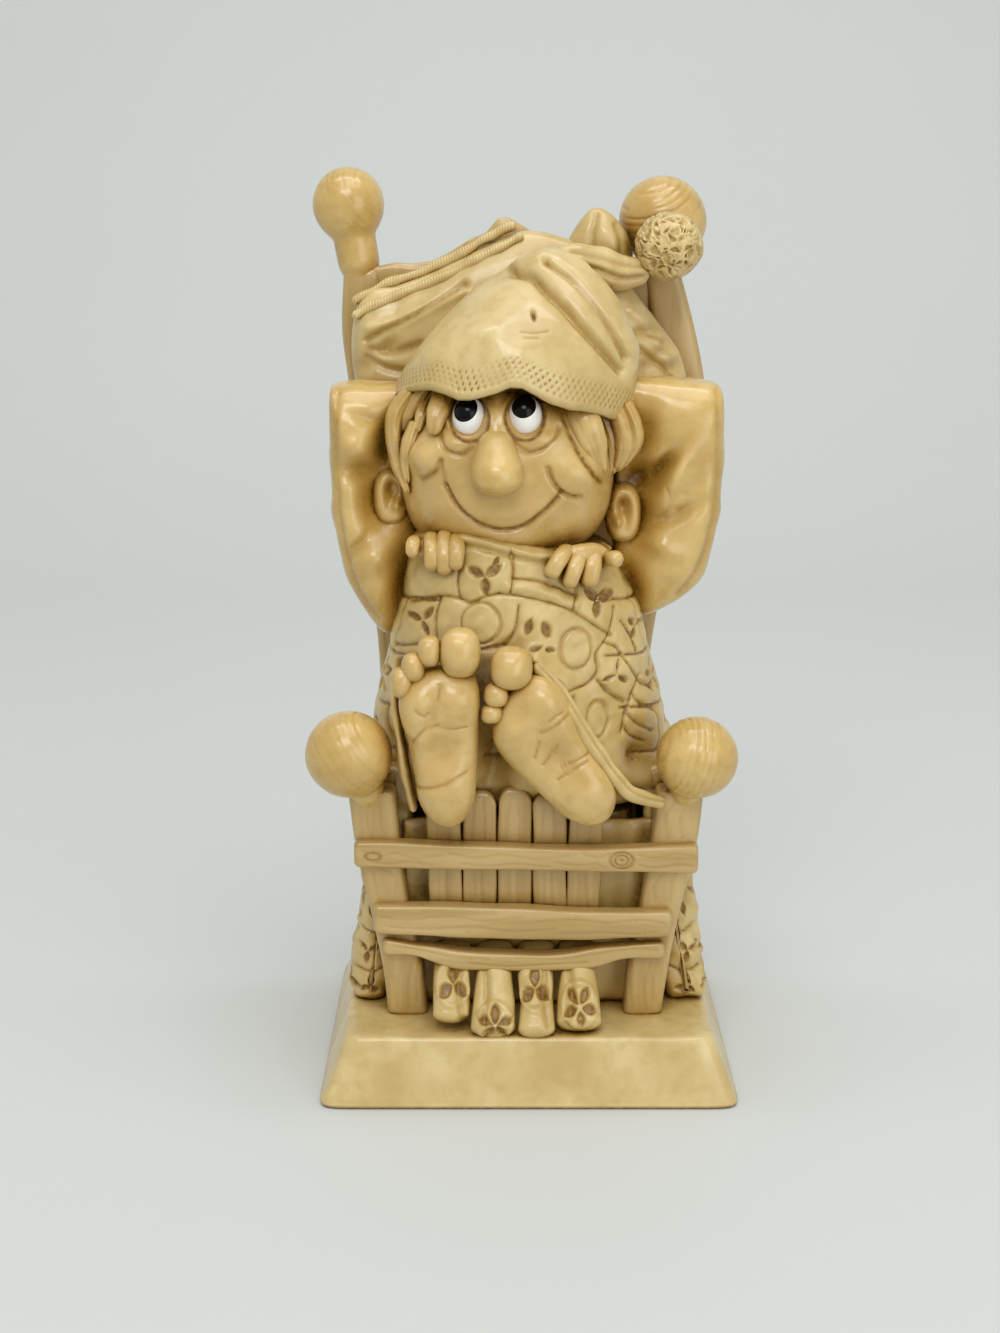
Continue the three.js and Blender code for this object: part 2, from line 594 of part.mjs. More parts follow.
// Front view of a sleeve: down its outer edge, round its lower end and up its inner edge to the flat elbow.
// Shares of the width, from the outer edge, and of the length, from the lower end.
const SLEEVE_OUTLINE = [[0.03, 0.97], [0, 0.87], [0, 0.69], [0.02, 0.52], [0.05, 0.4], [0.105, 0.28],
  [0.22, 0.17], [0.39, 0.075], [0.66, 0], [0.87, 0.035], [0.985, 0.15], [1, 0.33], [1, 0.5], [1, 0.7],
  [0.98, 0.92], [0.9, 0.99], [0.6, 1], [0.3, 0.995]];
// Hollows of the fronts: place and half widths as the same shares, and the share of the depth that is lost.
// Both sleeves fall back along the head and at the quilt, and each is hollow by the hair and the ear.
const SLEEVE_FALLS = [[1, 0.55, 0.33, 0.37, 0.55], [0.87, 0.18, 0.13, 0.12, 0.45]];
const SLEEVE_HOLLOWS = {
  left: [[0.7, 0.745, 0.2, 0.11, 0.6], [0.56, 0.55, 0.18, 0.115, 0.45]],
  right: [[0.8, 0.57, 0.2, 0.1, 0.62], [0.75, 0.8, 0.15, 0.11, 0.3]],
};

// Sleeves of the arms folded up behind the head: rounded slabs whose fronts fall back towards the head
function addSleeves(head) {
  const track = SLEEVE_OUTLINE.map(([across, lift]) => vector([across, lift, 0]));
  const edge = new THREE.CatmullRomCurve3(track, true, 'catmullrom', 0.5);
  const outline = edge.getPoints(SLEEVE_POINT_COUNT).slice(1);
  for (const [side, word, sleeve] of [[-1, 'left', LEFT_SLEEVE], [1, 'right', RIGHT_SLEEVE]]) {
    const outside = HEAD_WIDTH / 2 - sleeve.tuck + sleeve.width;
    const falls = [...SLEEVE_FALLS, ...SLEEVE_HOLLOWS[word]];
    const kept = (across, lift) => falls.reduce((share, [a, b, wide, tall, lost]) =>
      share * (1 - lost * Math.exp(-(((across - a) / wide) ** 2) - ((lift - b) / tall) ** 2)), 1);
    const ring = (share, facing) => {
      const deep = facing * (SLEEVE_DEPTH / 2) * (1 - share ** SLEEVE_POWER) ** (1 / SLEEVE_POWER);
      const loop = outline.map((point) => {
        const across = 0.5 + (point.x - 0.5) * share;
        const lift = 0.5 + (point.y - 0.5) * share;
        const x = side * (outside - sleeve.width * across);
        const y = facing < 0 ? deep * kept(across, lift) : deep;
        return new THREE.Vector3(x, y, sleeve.elbow - sleeve.length * (1 - lift));
      });
      return side > 0 ? loop : loop.reverse();
    };
    const front = [0.25, 0.5, 0.7, 0.85, 0.95].map((share) => ring(share, -1));
    const back = [1, 0.95, 0.8, 0.5].map((share) => ring(share, 1));
    piece(head, `sleeve_${word}`, skin([...front, ...back]), AMBER_RESIN);
  }
}

// Fingers curled over the quilt's edge, joined at the knuckles
function addHands(head) {
  const hand = (count, thumbSide) => {
    const fingers = Array.from({ length: count }, (_, index) => {
      const x = (index - (count - 1) / 2) * FINGER_PITCH;
      return tube([[x, 3.4, 1.6], [x, 0.4, FINGER_LENGTH * 0.4], [x, -0.4, -FINGER_LENGTH * 0.5]],
        [FINGER_RADIUS, FINGER_RADIUS, FINGER_RADIUS * 0.9], { sides: 6, steps: 6 });
    });
    const edge = thumbSide * (count / 2) * FINGER_PITCH;
    const thumb = tube([[edge * 0.4, 2.4, 1], [edge, 1, 1], [edge + thumbSide * 1.6, 0.6, 0.2]],
      [FINGER_RADIUS, FINGER_RADIUS, FINGER_RADIUS * 0.9], { sides: 6, steps: 6, across: [0, 1, 0] });
    return joined([...fingers, thumb]);
  };
  const edgeY = -HEAD_DEPTH / 2 - 1;
  piece(head, 'hand_left', hand(3, -1), SKIN_RESIN, [-9.2, edgeY, -HEAD_HEIGHT * 0.42]);
  piece(head, 'hand_right', hand(4, 1), SKIN_RESIN, [10.5, edgeY, -HEAD_HEIGHT * 0.48], [0, 4, 0]);
}

// Pillow behind the head: its upper edge climbs to the right, where one corner stands up.
// The table gives shares of its width and, for the lower and upper edge there, of its height.
const PILLOW_EDGES = [[-0.455, -0.1, 0.19], [-0.415, -0.26, 0.26], [-0.22, -0.46, 0.34], [0.06, -0.5, 0.5],
  [0.25, -0.5, 0.43], [0.4, -0.43, 0.22], [0.535, -0.22, -0.03]];

function addPillow(head) {
  const behindHead = groupAt(head, [0, HEAD_DEPTH / 2 - PILLOW_SINK, PILLOW_LIFT]);
  const half = PILLOW_THICKNESS / 2;
  const cord = (drop, y) => tube(
    PILLOW_EDGES.slice(0, 4).map(([x, , high]) => [x * PILLOW_WIDTH, y, high * PILLOW_HEIGHT - drop]),
    [1, 1, 1, 1].map((share) => share * CORD_RADIUS), { sides: 6, steps: 9, across: [0, 1, 0] });
  piece(behindHead, 'pillow_cord_front', cord(CORD_RADIUS * 2.7, -half * 0.8), CREAM_RESIN);
  piece(behindHead, 'pillow_cord_back', cord(GAP, -half * 0.45), CREAM_RESIN);
  const sections = PILLOW_EDGES.map(([x, low, high], index) => ({
    at: [x * PILLOW_WIDTH, 0, ((low + high) / 2) * PILLOW_HEIGHT],
    half: [((high - low) / 2) * PILLOW_HEIGHT, half * (index % (PILLOW_EDGES.length - 1) ? 1 : 0.6)],
    facing: [1, 0, 0],
  }));
  const cushion = loft(sections, { sides: 16, steps: 12, power: 2.8, across: UP });
  const cornerHalf = [PILLOW_CORNER * 0.68, PILLOW_CORNER * 0.6, PILLOW_CORNER];
  const corner = blob(cornerHalf, 2, { sides: 10, steps: 6 });
  corner.translate(PILLOW_WIDTH * 0.255, half * 0.1, PILLOW_HEIGHT * 0.41);
  piece(behindHead, 'pillow', joined([cushion, corner]), CREAM_RESIN);
}

// Rolled hem of the quilt that runs down the right foot's outer edge and turns away at its heel
function addBorder(body, soleY) {
  const heel = [RIGHT_HEEL[0], soleY + FOOT_THICKNESS / 2, RIGHT_HEEL[1]];
  const leg = groupAt(body, heel, [0, -RIGHT_FOOT_TURN, 0]);
  const beside = (width) => width / 2 + BORDER_RADIUS + GAP;
  const points = [
    [beside(BALL_WIDTH), 0, FOOT_LENGTH * 0.9],
    [beside((BALL_WIDTH + HEEL_WIDTH) / 2), -BORDER_RADIUS, FOOT_LENGTH * 0.6],
    [beside(HEEL_WIDTH), -BORDER_RADIUS, FOOT_LENGTH / 3],
    [beside(HEEL_WIDTH), -BORDER_RADIUS, FOOT_LENGTH * 0.07],
    [beside(HEEL_WIDTH + BORDER_RADIUS * 3), 0, -FOOT_LENGTH * 0.08],
  ];
  const roll = tube(points, points.map(() => BORDER_RADIUS), { sides: 6, steps: 3 * points.length });
  piece(leg, 'quilt_border', roll, QUILT_RESIN);
}

// Draws an upright form in along the seams between its rows of patches
function quilted(form) {
  const { position } = form.attributes;
  const point = new THREE.Vector3();
  for (let index = 0; index < position.count; index++) {
    point.fromBufferAttribute(position, index);
    const seam = Math.cos((Math.PI * (point.z - QUILT_FIRST_SEAM)) / QUILT_ROW) ** 4;
    const kept = Math.max(0, 1 - (QUILT_PUFF * seam) / Math.max(QUILT_PUFF, Math.hypot(point.x, point.y)));
    position.setXY(index, point.x * kept, point.y * kept);
  }
  return form;
}

// The quilt's upper part: a bell that swells from the chin down to the knees
function addQuilt(body) {
  const wide = QUILT_WIDTH / 2;
  const narrow = QUILT_TOP_WIDTH / 2;
  const section = (x, y, width, depth, share) => ({
    at: [x * QUILT_WIDTH, y * QUILT_DEPTH, QUILT_RISE * share],
    half: [width, depth * QUILT_DEPTH],
  });
  const bell = loft([
    section(-0.011, 0.048, wide * 0.98, 0.394, 0.04),
    section(-0.022, -0.015, wide, 0.47, 0.22),
    section(-0.03, -0.03, wide * 0.97, 0.5, 0.4),
    section(-0.033, -0.03, (wide + narrow) * 0.52, 0.479, 0.62),
    section(-0.037, -0.015, narrow * 1.18, 0.442, 0.83),
    section(-0.057, 0, narrow, 0.418, 1),
  ], { sides: 24, steps: 21, power: 2.4 });
  piece(body, 'quilt_cover', quilted(bell), QUILT_RESIN);
}

// Hanging sides of the quilt: a wavy sheet that flares down to the plinth
function addSkirts(bed) {
  const front = FOOT_POST_Y + FOOT_POST_DEPTH / 2 + GAP;
  const back = HEAD_POST_Y - HEAD_POST_DEPTH / 2 - GAP;
  const columns = Math.round((6 * (back - front)) / SKIRT_FOLD_PITCH);
  for (const [side, word] of [[-1, 'left'], [1, 'right']]) {
    const rings = [0, 0.25, 0.5, 0.75, 1].map((share) => {
      const z = GAP + SKIRT_HEIGHT * share;
      const outer = QUILT_WIDTH / 2 + SKIRT_FLARE * (1 - share) ** 1.4 + 0.6;
      const edge = Array.from({ length: columns + 1 }, (_, column) => {
        const along = ((back - front) * column) / columns;
        const turn = 2 * Math.PI * (along / SKIRT_FOLD_PITCH - SKIRT_FOLD_START);
        return [outer + SKIRT_WAVE * (1 - share) * Math.sin(turn), front + along];
      });
      const outside = edge.map(([x, y]) => new THREE.Vector3(side * x, y, z));
      const inside = edge.map(([x, y]) => new THREE.Vector3(side * (x - SKIRT_THICKNESS), y, z));
      const loop = [...outside, ...inside.reverse()];
      return side > 0 ? loop : loop.reverse();
    });
    piece(bed, `quilt_side_${word}`, skin(rings), QUILT_RESIN);
  }
}

// The quilt's foot end, behind the footboard, and the round folds of its hem that spread on the plinth
function addFootDrop(bed) {
  const dropFront = FOOT_POST_Y + FOOT_POST_DEPTH * 0.3;
  for (let index = 0; index < HEM_FOLD_COUNT; index++) {
    const x = (index - (HEM_FOLD_COUNT - 1) / 2) * HEM_FOLD_PITCH + SLAT_OFFSET;
    const low = dropFront - HEM_FOLD_REACH;
    const middle = dropFront - HEM_FOLD_REACH * 0.45;
    const path = [[x, dropFront, BOTTOM_RAIL_LIFT], [x, middle, BOTTOM_RAIL_LIFT * 0.42], [x, low, -0.6]];
    const radii = [HEM_FOLD_RADIUS * 0.8, HEM_FOLD_RADIUS * 0.95, HEM_FOLD_RADIUS];
    const fold = tube(path, radii, { sides: 10, steps: 8 });
    piece(bed, `quilt_hem_fold_${index + 1}`, fold, QUILT_RESIN);
  }
  const low = FOOT_SPREAD_BOTTOM - FOOT_POST_WIDTH * 0.2;
  const height = MATTRESS_HEIGHT;
  const high = low + (FOOT_LEAN * height) / FOOT_POST_HEIGHT;
  const sheet = board([[-low, 0], [low, 0], [high, height], [-high, height]], FOOT_DROP_THICKNESS);
  piece(bed, 'quilt_foot_drop', sheet, QUILT_RESIN, [0, dropFront, 0]);
}

function addMattress(bed) {
  const front = FOOT_POST_Y + MATTRESS_CLEAR;
  const back = HEAD_POST_Y - MATTRESS_CLEAR;
  const sections = [0, MATTRESS_HEIGHT].map((z) => ({
    at: [0, (front + back) / 2, z],
    half: [QUILT_WIDTH / 2 - SKIRT_THICKNESS, (back - front) / 2],
  }));
  piece(bed, 'mattress', loft(sections, { sides: 20, steps: 1, power: 6 }), CREAM_RESIN);
}

function buildFigurine() {
  const root = new THREE.Group();
  addPlinth(root);
  const bed = groupAt(root, [0, 0, BASE_HEIGHT]);
  addFootboard(bed);
  addHeadboard(bed);
  const body = groupAt(bed, [0, 0, MATTRESS_HEIGHT]);
  const soleY = FOOT_POST_Y - FOOT_POST_DEPTH / 2 - RAIL_THICKNESS + RAIL_HOUSING - FOOT_THICKNESS * 0.68;
  addFeet(body, soleY);
  const head = groupAt(body, [HEAD_X, 0.5, HEAD_RISE]);
  addHead(head);
  addNightcap(head);
  addHair(head);
  addSleeves(head);
  addHands(head);
  addPillow(head);
  addBorder(body, soleY);
  addQuilt(body);
  addSkirts(bed);
  addFootDrop(bed);
  addMattress(bed);
  return giveWay(root);
}

export default buildFigurine();
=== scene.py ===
"""Looks of a cast resin shelf figurine: a sleeper in a nightcap, tucked into a carved bed.

Every piece is a closed surface worked out with numpy in millimetres, in the frame of the CAD part.
x runs to the viewer's right, y away from the viewer and z up, from the middle of the base's underside.
"""

import bpy
import numpy as np
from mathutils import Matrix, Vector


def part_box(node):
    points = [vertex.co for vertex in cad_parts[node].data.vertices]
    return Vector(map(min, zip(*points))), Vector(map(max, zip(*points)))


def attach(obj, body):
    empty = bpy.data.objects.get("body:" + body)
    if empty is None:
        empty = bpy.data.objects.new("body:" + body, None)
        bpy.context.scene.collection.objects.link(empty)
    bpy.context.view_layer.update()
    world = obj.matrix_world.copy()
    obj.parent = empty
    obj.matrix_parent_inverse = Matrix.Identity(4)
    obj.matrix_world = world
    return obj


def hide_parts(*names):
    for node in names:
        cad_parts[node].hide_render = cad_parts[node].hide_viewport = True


bl_info = {
    "name": "Resin bed sleeper", "version": (1, 0, 0), "blender": (4, 5, 0),
    "location": "View3D > Sidebar > Sleeper",
    "description": "Dresses a cast resin bed sleeper in its carved and stained surfaces",
    "category": "Object",
}

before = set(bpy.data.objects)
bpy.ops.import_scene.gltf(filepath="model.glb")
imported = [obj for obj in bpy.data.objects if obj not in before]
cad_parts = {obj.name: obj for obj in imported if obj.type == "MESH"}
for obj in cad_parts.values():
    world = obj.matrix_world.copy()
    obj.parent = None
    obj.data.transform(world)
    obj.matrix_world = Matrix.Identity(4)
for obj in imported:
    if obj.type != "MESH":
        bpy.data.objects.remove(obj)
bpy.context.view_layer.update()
MM = 0.001

# Views that a carving is drawn in: across, up and depth axes, and the sign of a normal that faces it
VIEWS = {
    "front": (0, 2, 1, -1), "back": (0, 2, 1, 1), "left": (1, 2, 0, -1), "right": (1, 2, 0, 1),
    "top": (0, 1, 2, 1),
}

# The head is a superellipsoid: middle, half widths and power
HEAD_MIDDLE = (-3.3, 0.5, 92.5)
HEAD_HALF = (16.2, 14.0, 14.5)
HEAD_POWER = 2.5

# The quilt's rings are superellipses of this power; its upper edge has this middle, half width and depth
QUILT_POWER = 2.4
QUILT_EDGE = (-2.5, 15.6, 13.9)


def linear(code):
    """sRGB hex to linear: c / 12.92 up to 0.04045, and ((c + 0.055) / 1.055) ** 2.4 above it."""
    part = np.array([int(code[i : i + 2], 16) for i in (0, 2, 4)]) / 255
    low = part / 12.92
    high = ((part + 0.055) / 1.055) ** 2.4
    return tuple(float(c) for c in np.where(part <= 0.04045, low, high))


def size_property(name, description, default):
    """A length in metres."""
    return bpy.props.FloatProperty(name=name, description=description, default=default, unit="LENGTH")


def colour_property(name, description, code):
    """A colour, given as sRGB hex."""
    tone = linear(code)
    return bpy.props.FloatVectorProperty(
        name=name, description=description, default=tone, subtype="COLOR",
    )


class SleeperSizes(bpy.types.PropertyGroup):
    """Sizes of the carved detail"""

    seam: size_property("Quilt seam width", "Half width of the grooves between patches", 0.00021)
    seam_depth: size_property("Quilt seam depth", "Depth of the grooves between patches", 0.00042)
    grain_depth: size_property("Wood grain depth", "Depth of the grain on boards and balls", 0.00014)
    knit_pitch: size_property("Knit pitch", "Distance between the stitches of the nightcap's band", 0.00098)
    rope_pitch: size_property("Cord lay", "Distance between the turns of the pillow's twisted edge", 0.0011)
    eye: size_property("Eye radius", "Radius of an eyeball", 0.0027)
    pupil: size_property("Pupil radius", "Radius of the painted pupil", 0.00195)
    pompom: size_property("Pompom radius", "Radius of the ball at the nightcap's tip", 0.005)
    yarn: size_property("Pompom yarn", "Thickness of the yarn loops round the pompom", 0.0005)


class SleeperColours(bpy.types.PropertyGroup):
    """Colours of the resin, its stain, the eye paint and the stage"""

    cream: colour_property("Cream resin", "Colour of the base, cap and pillow", "CFB981")
    amber: colour_property("Amber resin", "Colour of the sleeves, nose and bed balls", "CEB06D")
    skin: colour_property("Skin resin", "Colour of the face, hair, hands and feet", "CEB070")
    quilt: colour_property("Quilt resin", "Colour of the quilt", "CDB67A")
    timber: colour_property("Timber resin", "Colour of the posts, rails, slats and headboard", "BFA46B")
    # The stain colour also paints the darkest shade in crevices and where pieces meet
    stain: colour_property("Stain", "Colour of the brown stain rubbed into the carving", "5E3700")
    eye_white: colour_property("Eye white", "Colour of the eyeballs", "FAFAF8")
    eye_black: colour_property("Pupil black", "Colour of the pupils", "020202")
    card: colour_property("Floor card", "Colour of the floor and backdrop", "D0D4D2")


def cubic(t, first, last, first_slope, last_slope):
    """The cubic over t from 0 to 1 that has these values and slopes at its two ends."""
    start = (2 * t**3 - 3 * t**2 + 1) * first + (t**3 - 2 * t**2 + t) * first_slope
    end = (3 * t**2 - 2 * t**3) * last + (t**3 - t**2) * last_slope
    return start + end


def flowing(points, count):
    """A smooth line through points, evenly spaced.

    Each stretch is a cubic whose end slopes are half the step between the points either side,
    and the dense line is then read again at even lengths.
    """
    p = np.asarray(points, float)
    slope = np.gradient(p, axis=0)
    share = np.linspace(0, len(p) - 1, 24 * len(p))
    k = np.minimum(share.astype(int), len(p) - 2)
    t = (share - k)[:, None]
    dense = cubic(t, p[k], p[k + 1], slope[k], slope[k + 1])
    step = np.linalg.norm(np.diff(dense, axis=0), axis=1)
    length = np.concatenate([[0], np.cumsum(step)])
    at = np.linspace(0, length[-1], count)
    return np.stack([np.interp(at, length, c) for c in dense.T], -1)


def eased(at, rows):
    """A table read at any place: its first column is the place, and between two rows each other column
    follows a cubic with the table's own slopes at those rows."""
    rows = np.asarray(rows, float)
    knots = rows[:, 0]
    values = rows[:, 1:]
    slope = np.gradient(values, knots, axis=0)
    at = np.clip(at, knots[0], knots[-1])
    k = np.clip(np.searchsorted(knots, at, side="right") - 1, 0, len(knots) - 2)
    step = (knots[k + 1] - knots[k])[:, None]
    t = (at - knots[k])[:, None] / step
    return cubic(t, values[k], values[k + 1], step * slope[k], step * slope[k + 1])


def ring(power, count, half_a=1.0, half_b=1.0):
    """A unit superellipse, |a|^power + |b|^power = 1, whose points are evenly spaced once it is drawn out
    to the two half widths."""
    angle = np.linspace(0, 2 * np.pi, 1441)
    a = np.sign(np.cos(angle)) * np.abs(np.cos(angle)) ** (2 / power)
    b = np.sign(np.sin(angle)) * np.abs(np.sin(angle)) ** (2 / power)
    step = np.hypot(np.diff(a) * half_a, np.diff(b) * half_b)
    length = np.concatenate([[0], np.cumsum(step)])
    at = np.linspace(0, length[-1], count, endpoint=False)
    return np.interp(at, length, a), np.interp(at, length, b)


def stations(length, dome, count):
    """Places along a piece from 0 to length, close together over its rounded ends, and the share of the
    full width there, which is a quarter circle over the last dome millimetres."""
    curve = dome * (1 - np.cos(np.linspace(0.12, np.pi / 2, 9)))
    middle = np.linspace(dome, length - dome, count)[1:-1]
    at = np.concatenate([curve, middle, length - curve[::-1]])
    gap = np.minimum(np.minimum(at, length - at) / dome, 1)
    return at, np.sqrt(1 - (1 - gap) ** 2)


def lumps(points, size, seed):
    """Soft unevenness, about -1 to 1: the mean of eight sine waves of that length in millimetres, whose
    directions and starts come from the seed."""
    random = np.random.default_rng(seed)
    way = random.normal(size=(8, 3))
    way /= np.linalg.norm(way, axis=1)[:, None]
    turn = random.uniform(0, 2 * np.pi, 8)
    return 1.8 * np.sin(points @ way.T * (2 * np.pi / size) + turn).mean(1)


def line_distance(flat, line):
    """Distance of each flat point to a line: it is projected on every segment, held within the segment's
    ends, and the nearest counts."""
    start = line[:-1]
    step = np.diff(line, axis=0)
    rel = flat[:, None, :] - start[None]
    share = np.clip((rel * step).sum(-1) / np.maximum((step**2).sum(-1), 1e-9), 0, 1)
    return np.sqrt(((rel - share[..., None] * step) ** 2).sum(-1)).min(1)


def offsets(flat, middle, half, turn):
    """Offsets of flat points from a middle, in half widths along two axes turned by an angle in degrees."""
    c, s = np.cos(np.radians(turn)), np.sin(np.radians(turn))
    rel = flat - middle
    u = (c * rel[:, 0] + s * rel[:, 1]) / half[0]
    v = (c * rel[:, 1] - s * rel[:, 0]) / half[1]
    return u, v


def spokes(way, side, count):
    """Unit vectors square to a way, evenly round it. The first is the cross product of way and side."""
    across = np.cross(way, side)
    across /= np.linalg.norm(across)
    angle = np.linspace(0, 2 * np.pi, count, endpoint=False)
    return across * np.cos(angle)[:, None] + np.cross(across, way) * np.sin(angle)[:, None]


class Skin:
    """A closed surface in millimetres, from rings of points.

    Point j of ring i is grid[i, j]. Quads join neighbouring rings, each ring runs round to its own start,
    and a fan to its middle closes the first and the last ring. If the signed volume, a sixth of the sum of
    the triangles' triple products, is below zero, the faces are turned round, so they point outwards.
    """

    def __init__(self, grid):
        rings, around, _ = grid.shape
        ends = np.stack([grid[0].mean(0), grid[-1].mean(0)])
        self.points = np.vstack([grid.reshape(-1, 3), ends])
        here = np.arange(rings * around).reshape(rings, around)
        there = np.roll(here, -1, 1)
        self.quads = np.stack([here[:-1], there[:-1], there[1:], here[1:]], -1).reshape(-1, 4)
        low = np.stack([there[0], here[0], np.full(around, rings * around)], -1)
        high = np.stack([here[-1], there[-1], np.full(around, rings * around + 1)], -1)
        self.fans = np.vstack([low, high])
        # Stain at each point, which in some hollows is painted shade
        self.wash_and_shade = np.zeros(len(self.points))
        tris = np.vstack([self.quads[:, [0, 1, 2]], self.quads[:, [0, 2, 3]], self.fans])
        a, b, c = (self.points[tris[:, i]] for i in range(3))
        if (a * np.cross(b, c)).sum() < 0:
            self.quads = self.quads[:, ::-1]
            self.fans = self.fans[:, ::-1]
        self.face()

    def face(self):
        """Normal at each point: the area vectors of the faces round it, added and made unit length."""
        p = self.points
        q = self.quads
        f = self.fans
        quad_area = np.cross(p[q[:, 2]] - p[q[:, 0]], p[q[:, 3]] - p[q[:, 1]])
        fan_area = np.cross(p[f[:, 1]] - p[f[:, 0]], p[f[:, 2]] - p[f[:, 0]])
        index = np.concatenate([q.ravel(), f.ravel()])
        area = np.vstack([np.repeat(quad_area, 4, 0), np.repeat(fan_area, 3, 0)])
        total = np.stack([np.bincount(index, area[:, i], len(p)) for i in range(3)], -1)
        self.normals = total / np.maximum(np.linalg.norm(total, axis=1), 1e-9)[:, None]

    def push(self, height, stain=0.0):
        """Moves each point along its normal by its height, and deepens its stain, which in some hollows is
        painted shade.
        """
        self.points = self.points + self.normals * np.broadcast_to(height, self.wash_and_shade.shape)[:, None]
        self.wash_and_shade = np.maximum(self.wash_and_shade, stain)

    def roughen(self, height, size, seed):
        """Lifts and lowers the surface by soft lumps of that height and size."""
        self.push(height * lumps(self.points, size, seed))

    def seen(self, view):
        """A view's two flat coordinates, and how far each point faces it, from 0 to 1."""
        across, up, depth, sign = VIEWS[view]
        return self.points[:, [across, up]], np.clip(3 * sign * self.normals[:, depth], 0, 1)

    def carve(self, line, width, depth, stain=0.7, view="front"):
        """A groove along a line, or with a depth below zero a ridge: depth times exp(-(d / width)^2), where
        d is the distance to the line in that view."""
        flat, facing = self.seen(view)
        path = flowing(line, 6 * len(line))
        reach = 3 * width
        near = ((flat > path.min(0) - reach) & (flat < path.max(0) + reach)).all(1) & (facing > 0)
        fall = np.exp(-((line_distance(flat[near], path) / width) ** 2)) * facing[near]
        self.points[near] -= self.normals[near] * (depth * fall)[:, None]
        self.wash_and_shade[near] = np.maximum(self.wash_and_shade[near], stain * fall)

    def swell(self, middle, half, height, stain=0.0, view="front", turn=0.0):
        """A bump, or with a height below zero a dent: height times exp(-r^2), where r is the distance to
        the middle in half widths, turned by an angle in degrees."""
        flat, facing = self.seen(view)
        u, v = offsets(flat, middle, half, turn)
        fall = np.exp(-(u**2 + v**2)) * facing
        self.push(height * fall, stain * fall)

    def sink(self, plane, middle, half, share, stain=0.0, turn=0.0):
        """Draws the front back towards a plane across y: its depth is scaled by 1 - share * exp(-r^2),
        where r is the distance to the middle in half widths, turned by an angle in degrees. A share below
        zero draws it forward."""
        u, v = offsets(self.points[:, [0, 2]], middle, half, turn)
        fall = np.exp(-(u**2 + v**2)) * (self.points[:, 1] < plane)
        self.points[:, 1] = plane + (self.points[:, 1] - plane) * (1 - share * fall)
        self.wash_and_shade = np.maximum(self.wash_and_shade, stain * fall)

    def leaf(self, middle, half, turn, depth=0.4, stain=0.8, view="front"):
        """A pointed leaf cut in: full depth where 1 - (u / long)^2 - |v| / short is above 0.35, and rising
        to the surface at its edge."""
        flat, facing = self.seen(view)
        u, v = offsets(flat, middle, half, turn)
        fall = np.clip((1 - u**2 - np.abs(v)) / 0.35, 0, 1) * facing
        self.push(-depth * fall, stain * fall)

    def loop(self, middle, half, width, depth, stain=0.7, view="front"):
        """A groove round an oval: exp(-(d / width)^2), where d is the distance to the oval along the line
        to its middle."""
        flat, facing = self.seen(view)
        rel = (flat - middle) / half
        d = (np.hypot(rel[:, 0], rel[:, 1]) - 1) * min(half)
        fall = np.exp(-((d / width) ** 2)) * facing
        self.push(-depth * fall, stain * fall)


def loft(rows, count, around, power=2.4, axis=2, dome=1.5, blunt=False):
    """Rings carried along an axis. Each row gives a place along it, the ring's middle on the two other axes
    and its half widths. A blunt end is rounded over by dome millimetres, and any other end closes on
    a quarter ellipse of that length."""
    rows = np.asarray(rows, float)
    at, close = stations(rows[-1, 0] - rows[0, 0], dome, count)
    at = at + rows[0, 0]
    table = eased(at, rows)
    a, b = ring(power, around, rows[:, 3].mean(), rows[:, 4].mean())
    lost = np.minimum(dome, table[:, 2:]) if blunt else table[:, 2:]
    half = table[:, 2:] - lost * (1 - close)[:, None]
    grid = np.zeros((len(at), around, 3))
    first, second = [i for i in range(3) if i != axis]
    grid[:, :, axis] = at[:, None]
    grid[:, :, first] = table[:, 0, None] + half[:, 0, None] * a
    grid[:, :, second] = table[:, 1, None] + half[:, 1, None] * b
    return Skin(grid)


def tube(path, radius, around=28, count=60, flat=1.0, side=(0, 1, 0), power=2.0, dome=None):
    """A rod carried along a line. At each place a ring lies square to the line: one axis is the cross
    product of the line's direction and side, the other is square to both and shorter by the share flat.
    The radius follows its list along the line, and the ends close on half spheres, or over dome
    millimetres where that is given."""
    line = flowing(path, 400)
    length = np.concatenate([[0], np.cumsum(np.linalg.norm(np.diff(line, axis=0), axis=1))])
    dome = dome or min(np.mean([radius[0], radius[-1]]), 0.45 * length[-1])
    at, close = stations(length[-1], dome, count)
    middle = np.stack([np.interp(at, length, c) for c in line.T], -1)
    way = np.gradient(line, axis=0)
    way = np.stack([np.interp(at, length, c) for c in way.T], -1)
    way /= np.linalg.norm(way, axis=1)[:, None]
    across = np.cross(way, side)
    across /= np.linalg.norm(across, axis=1)[:, None]
    up = np.cross(across, way)
    wide = np.interp(at / length[-1], np.linspace(0, 1, len(radius)), radius) * close
    a, b = ring(power, around)
    offset = across[:, None] * a[:, None] + up[:, None] * (b * flat)[:, None]
    return Skin(middle[:, None] + wide[:, None, None] * offset)


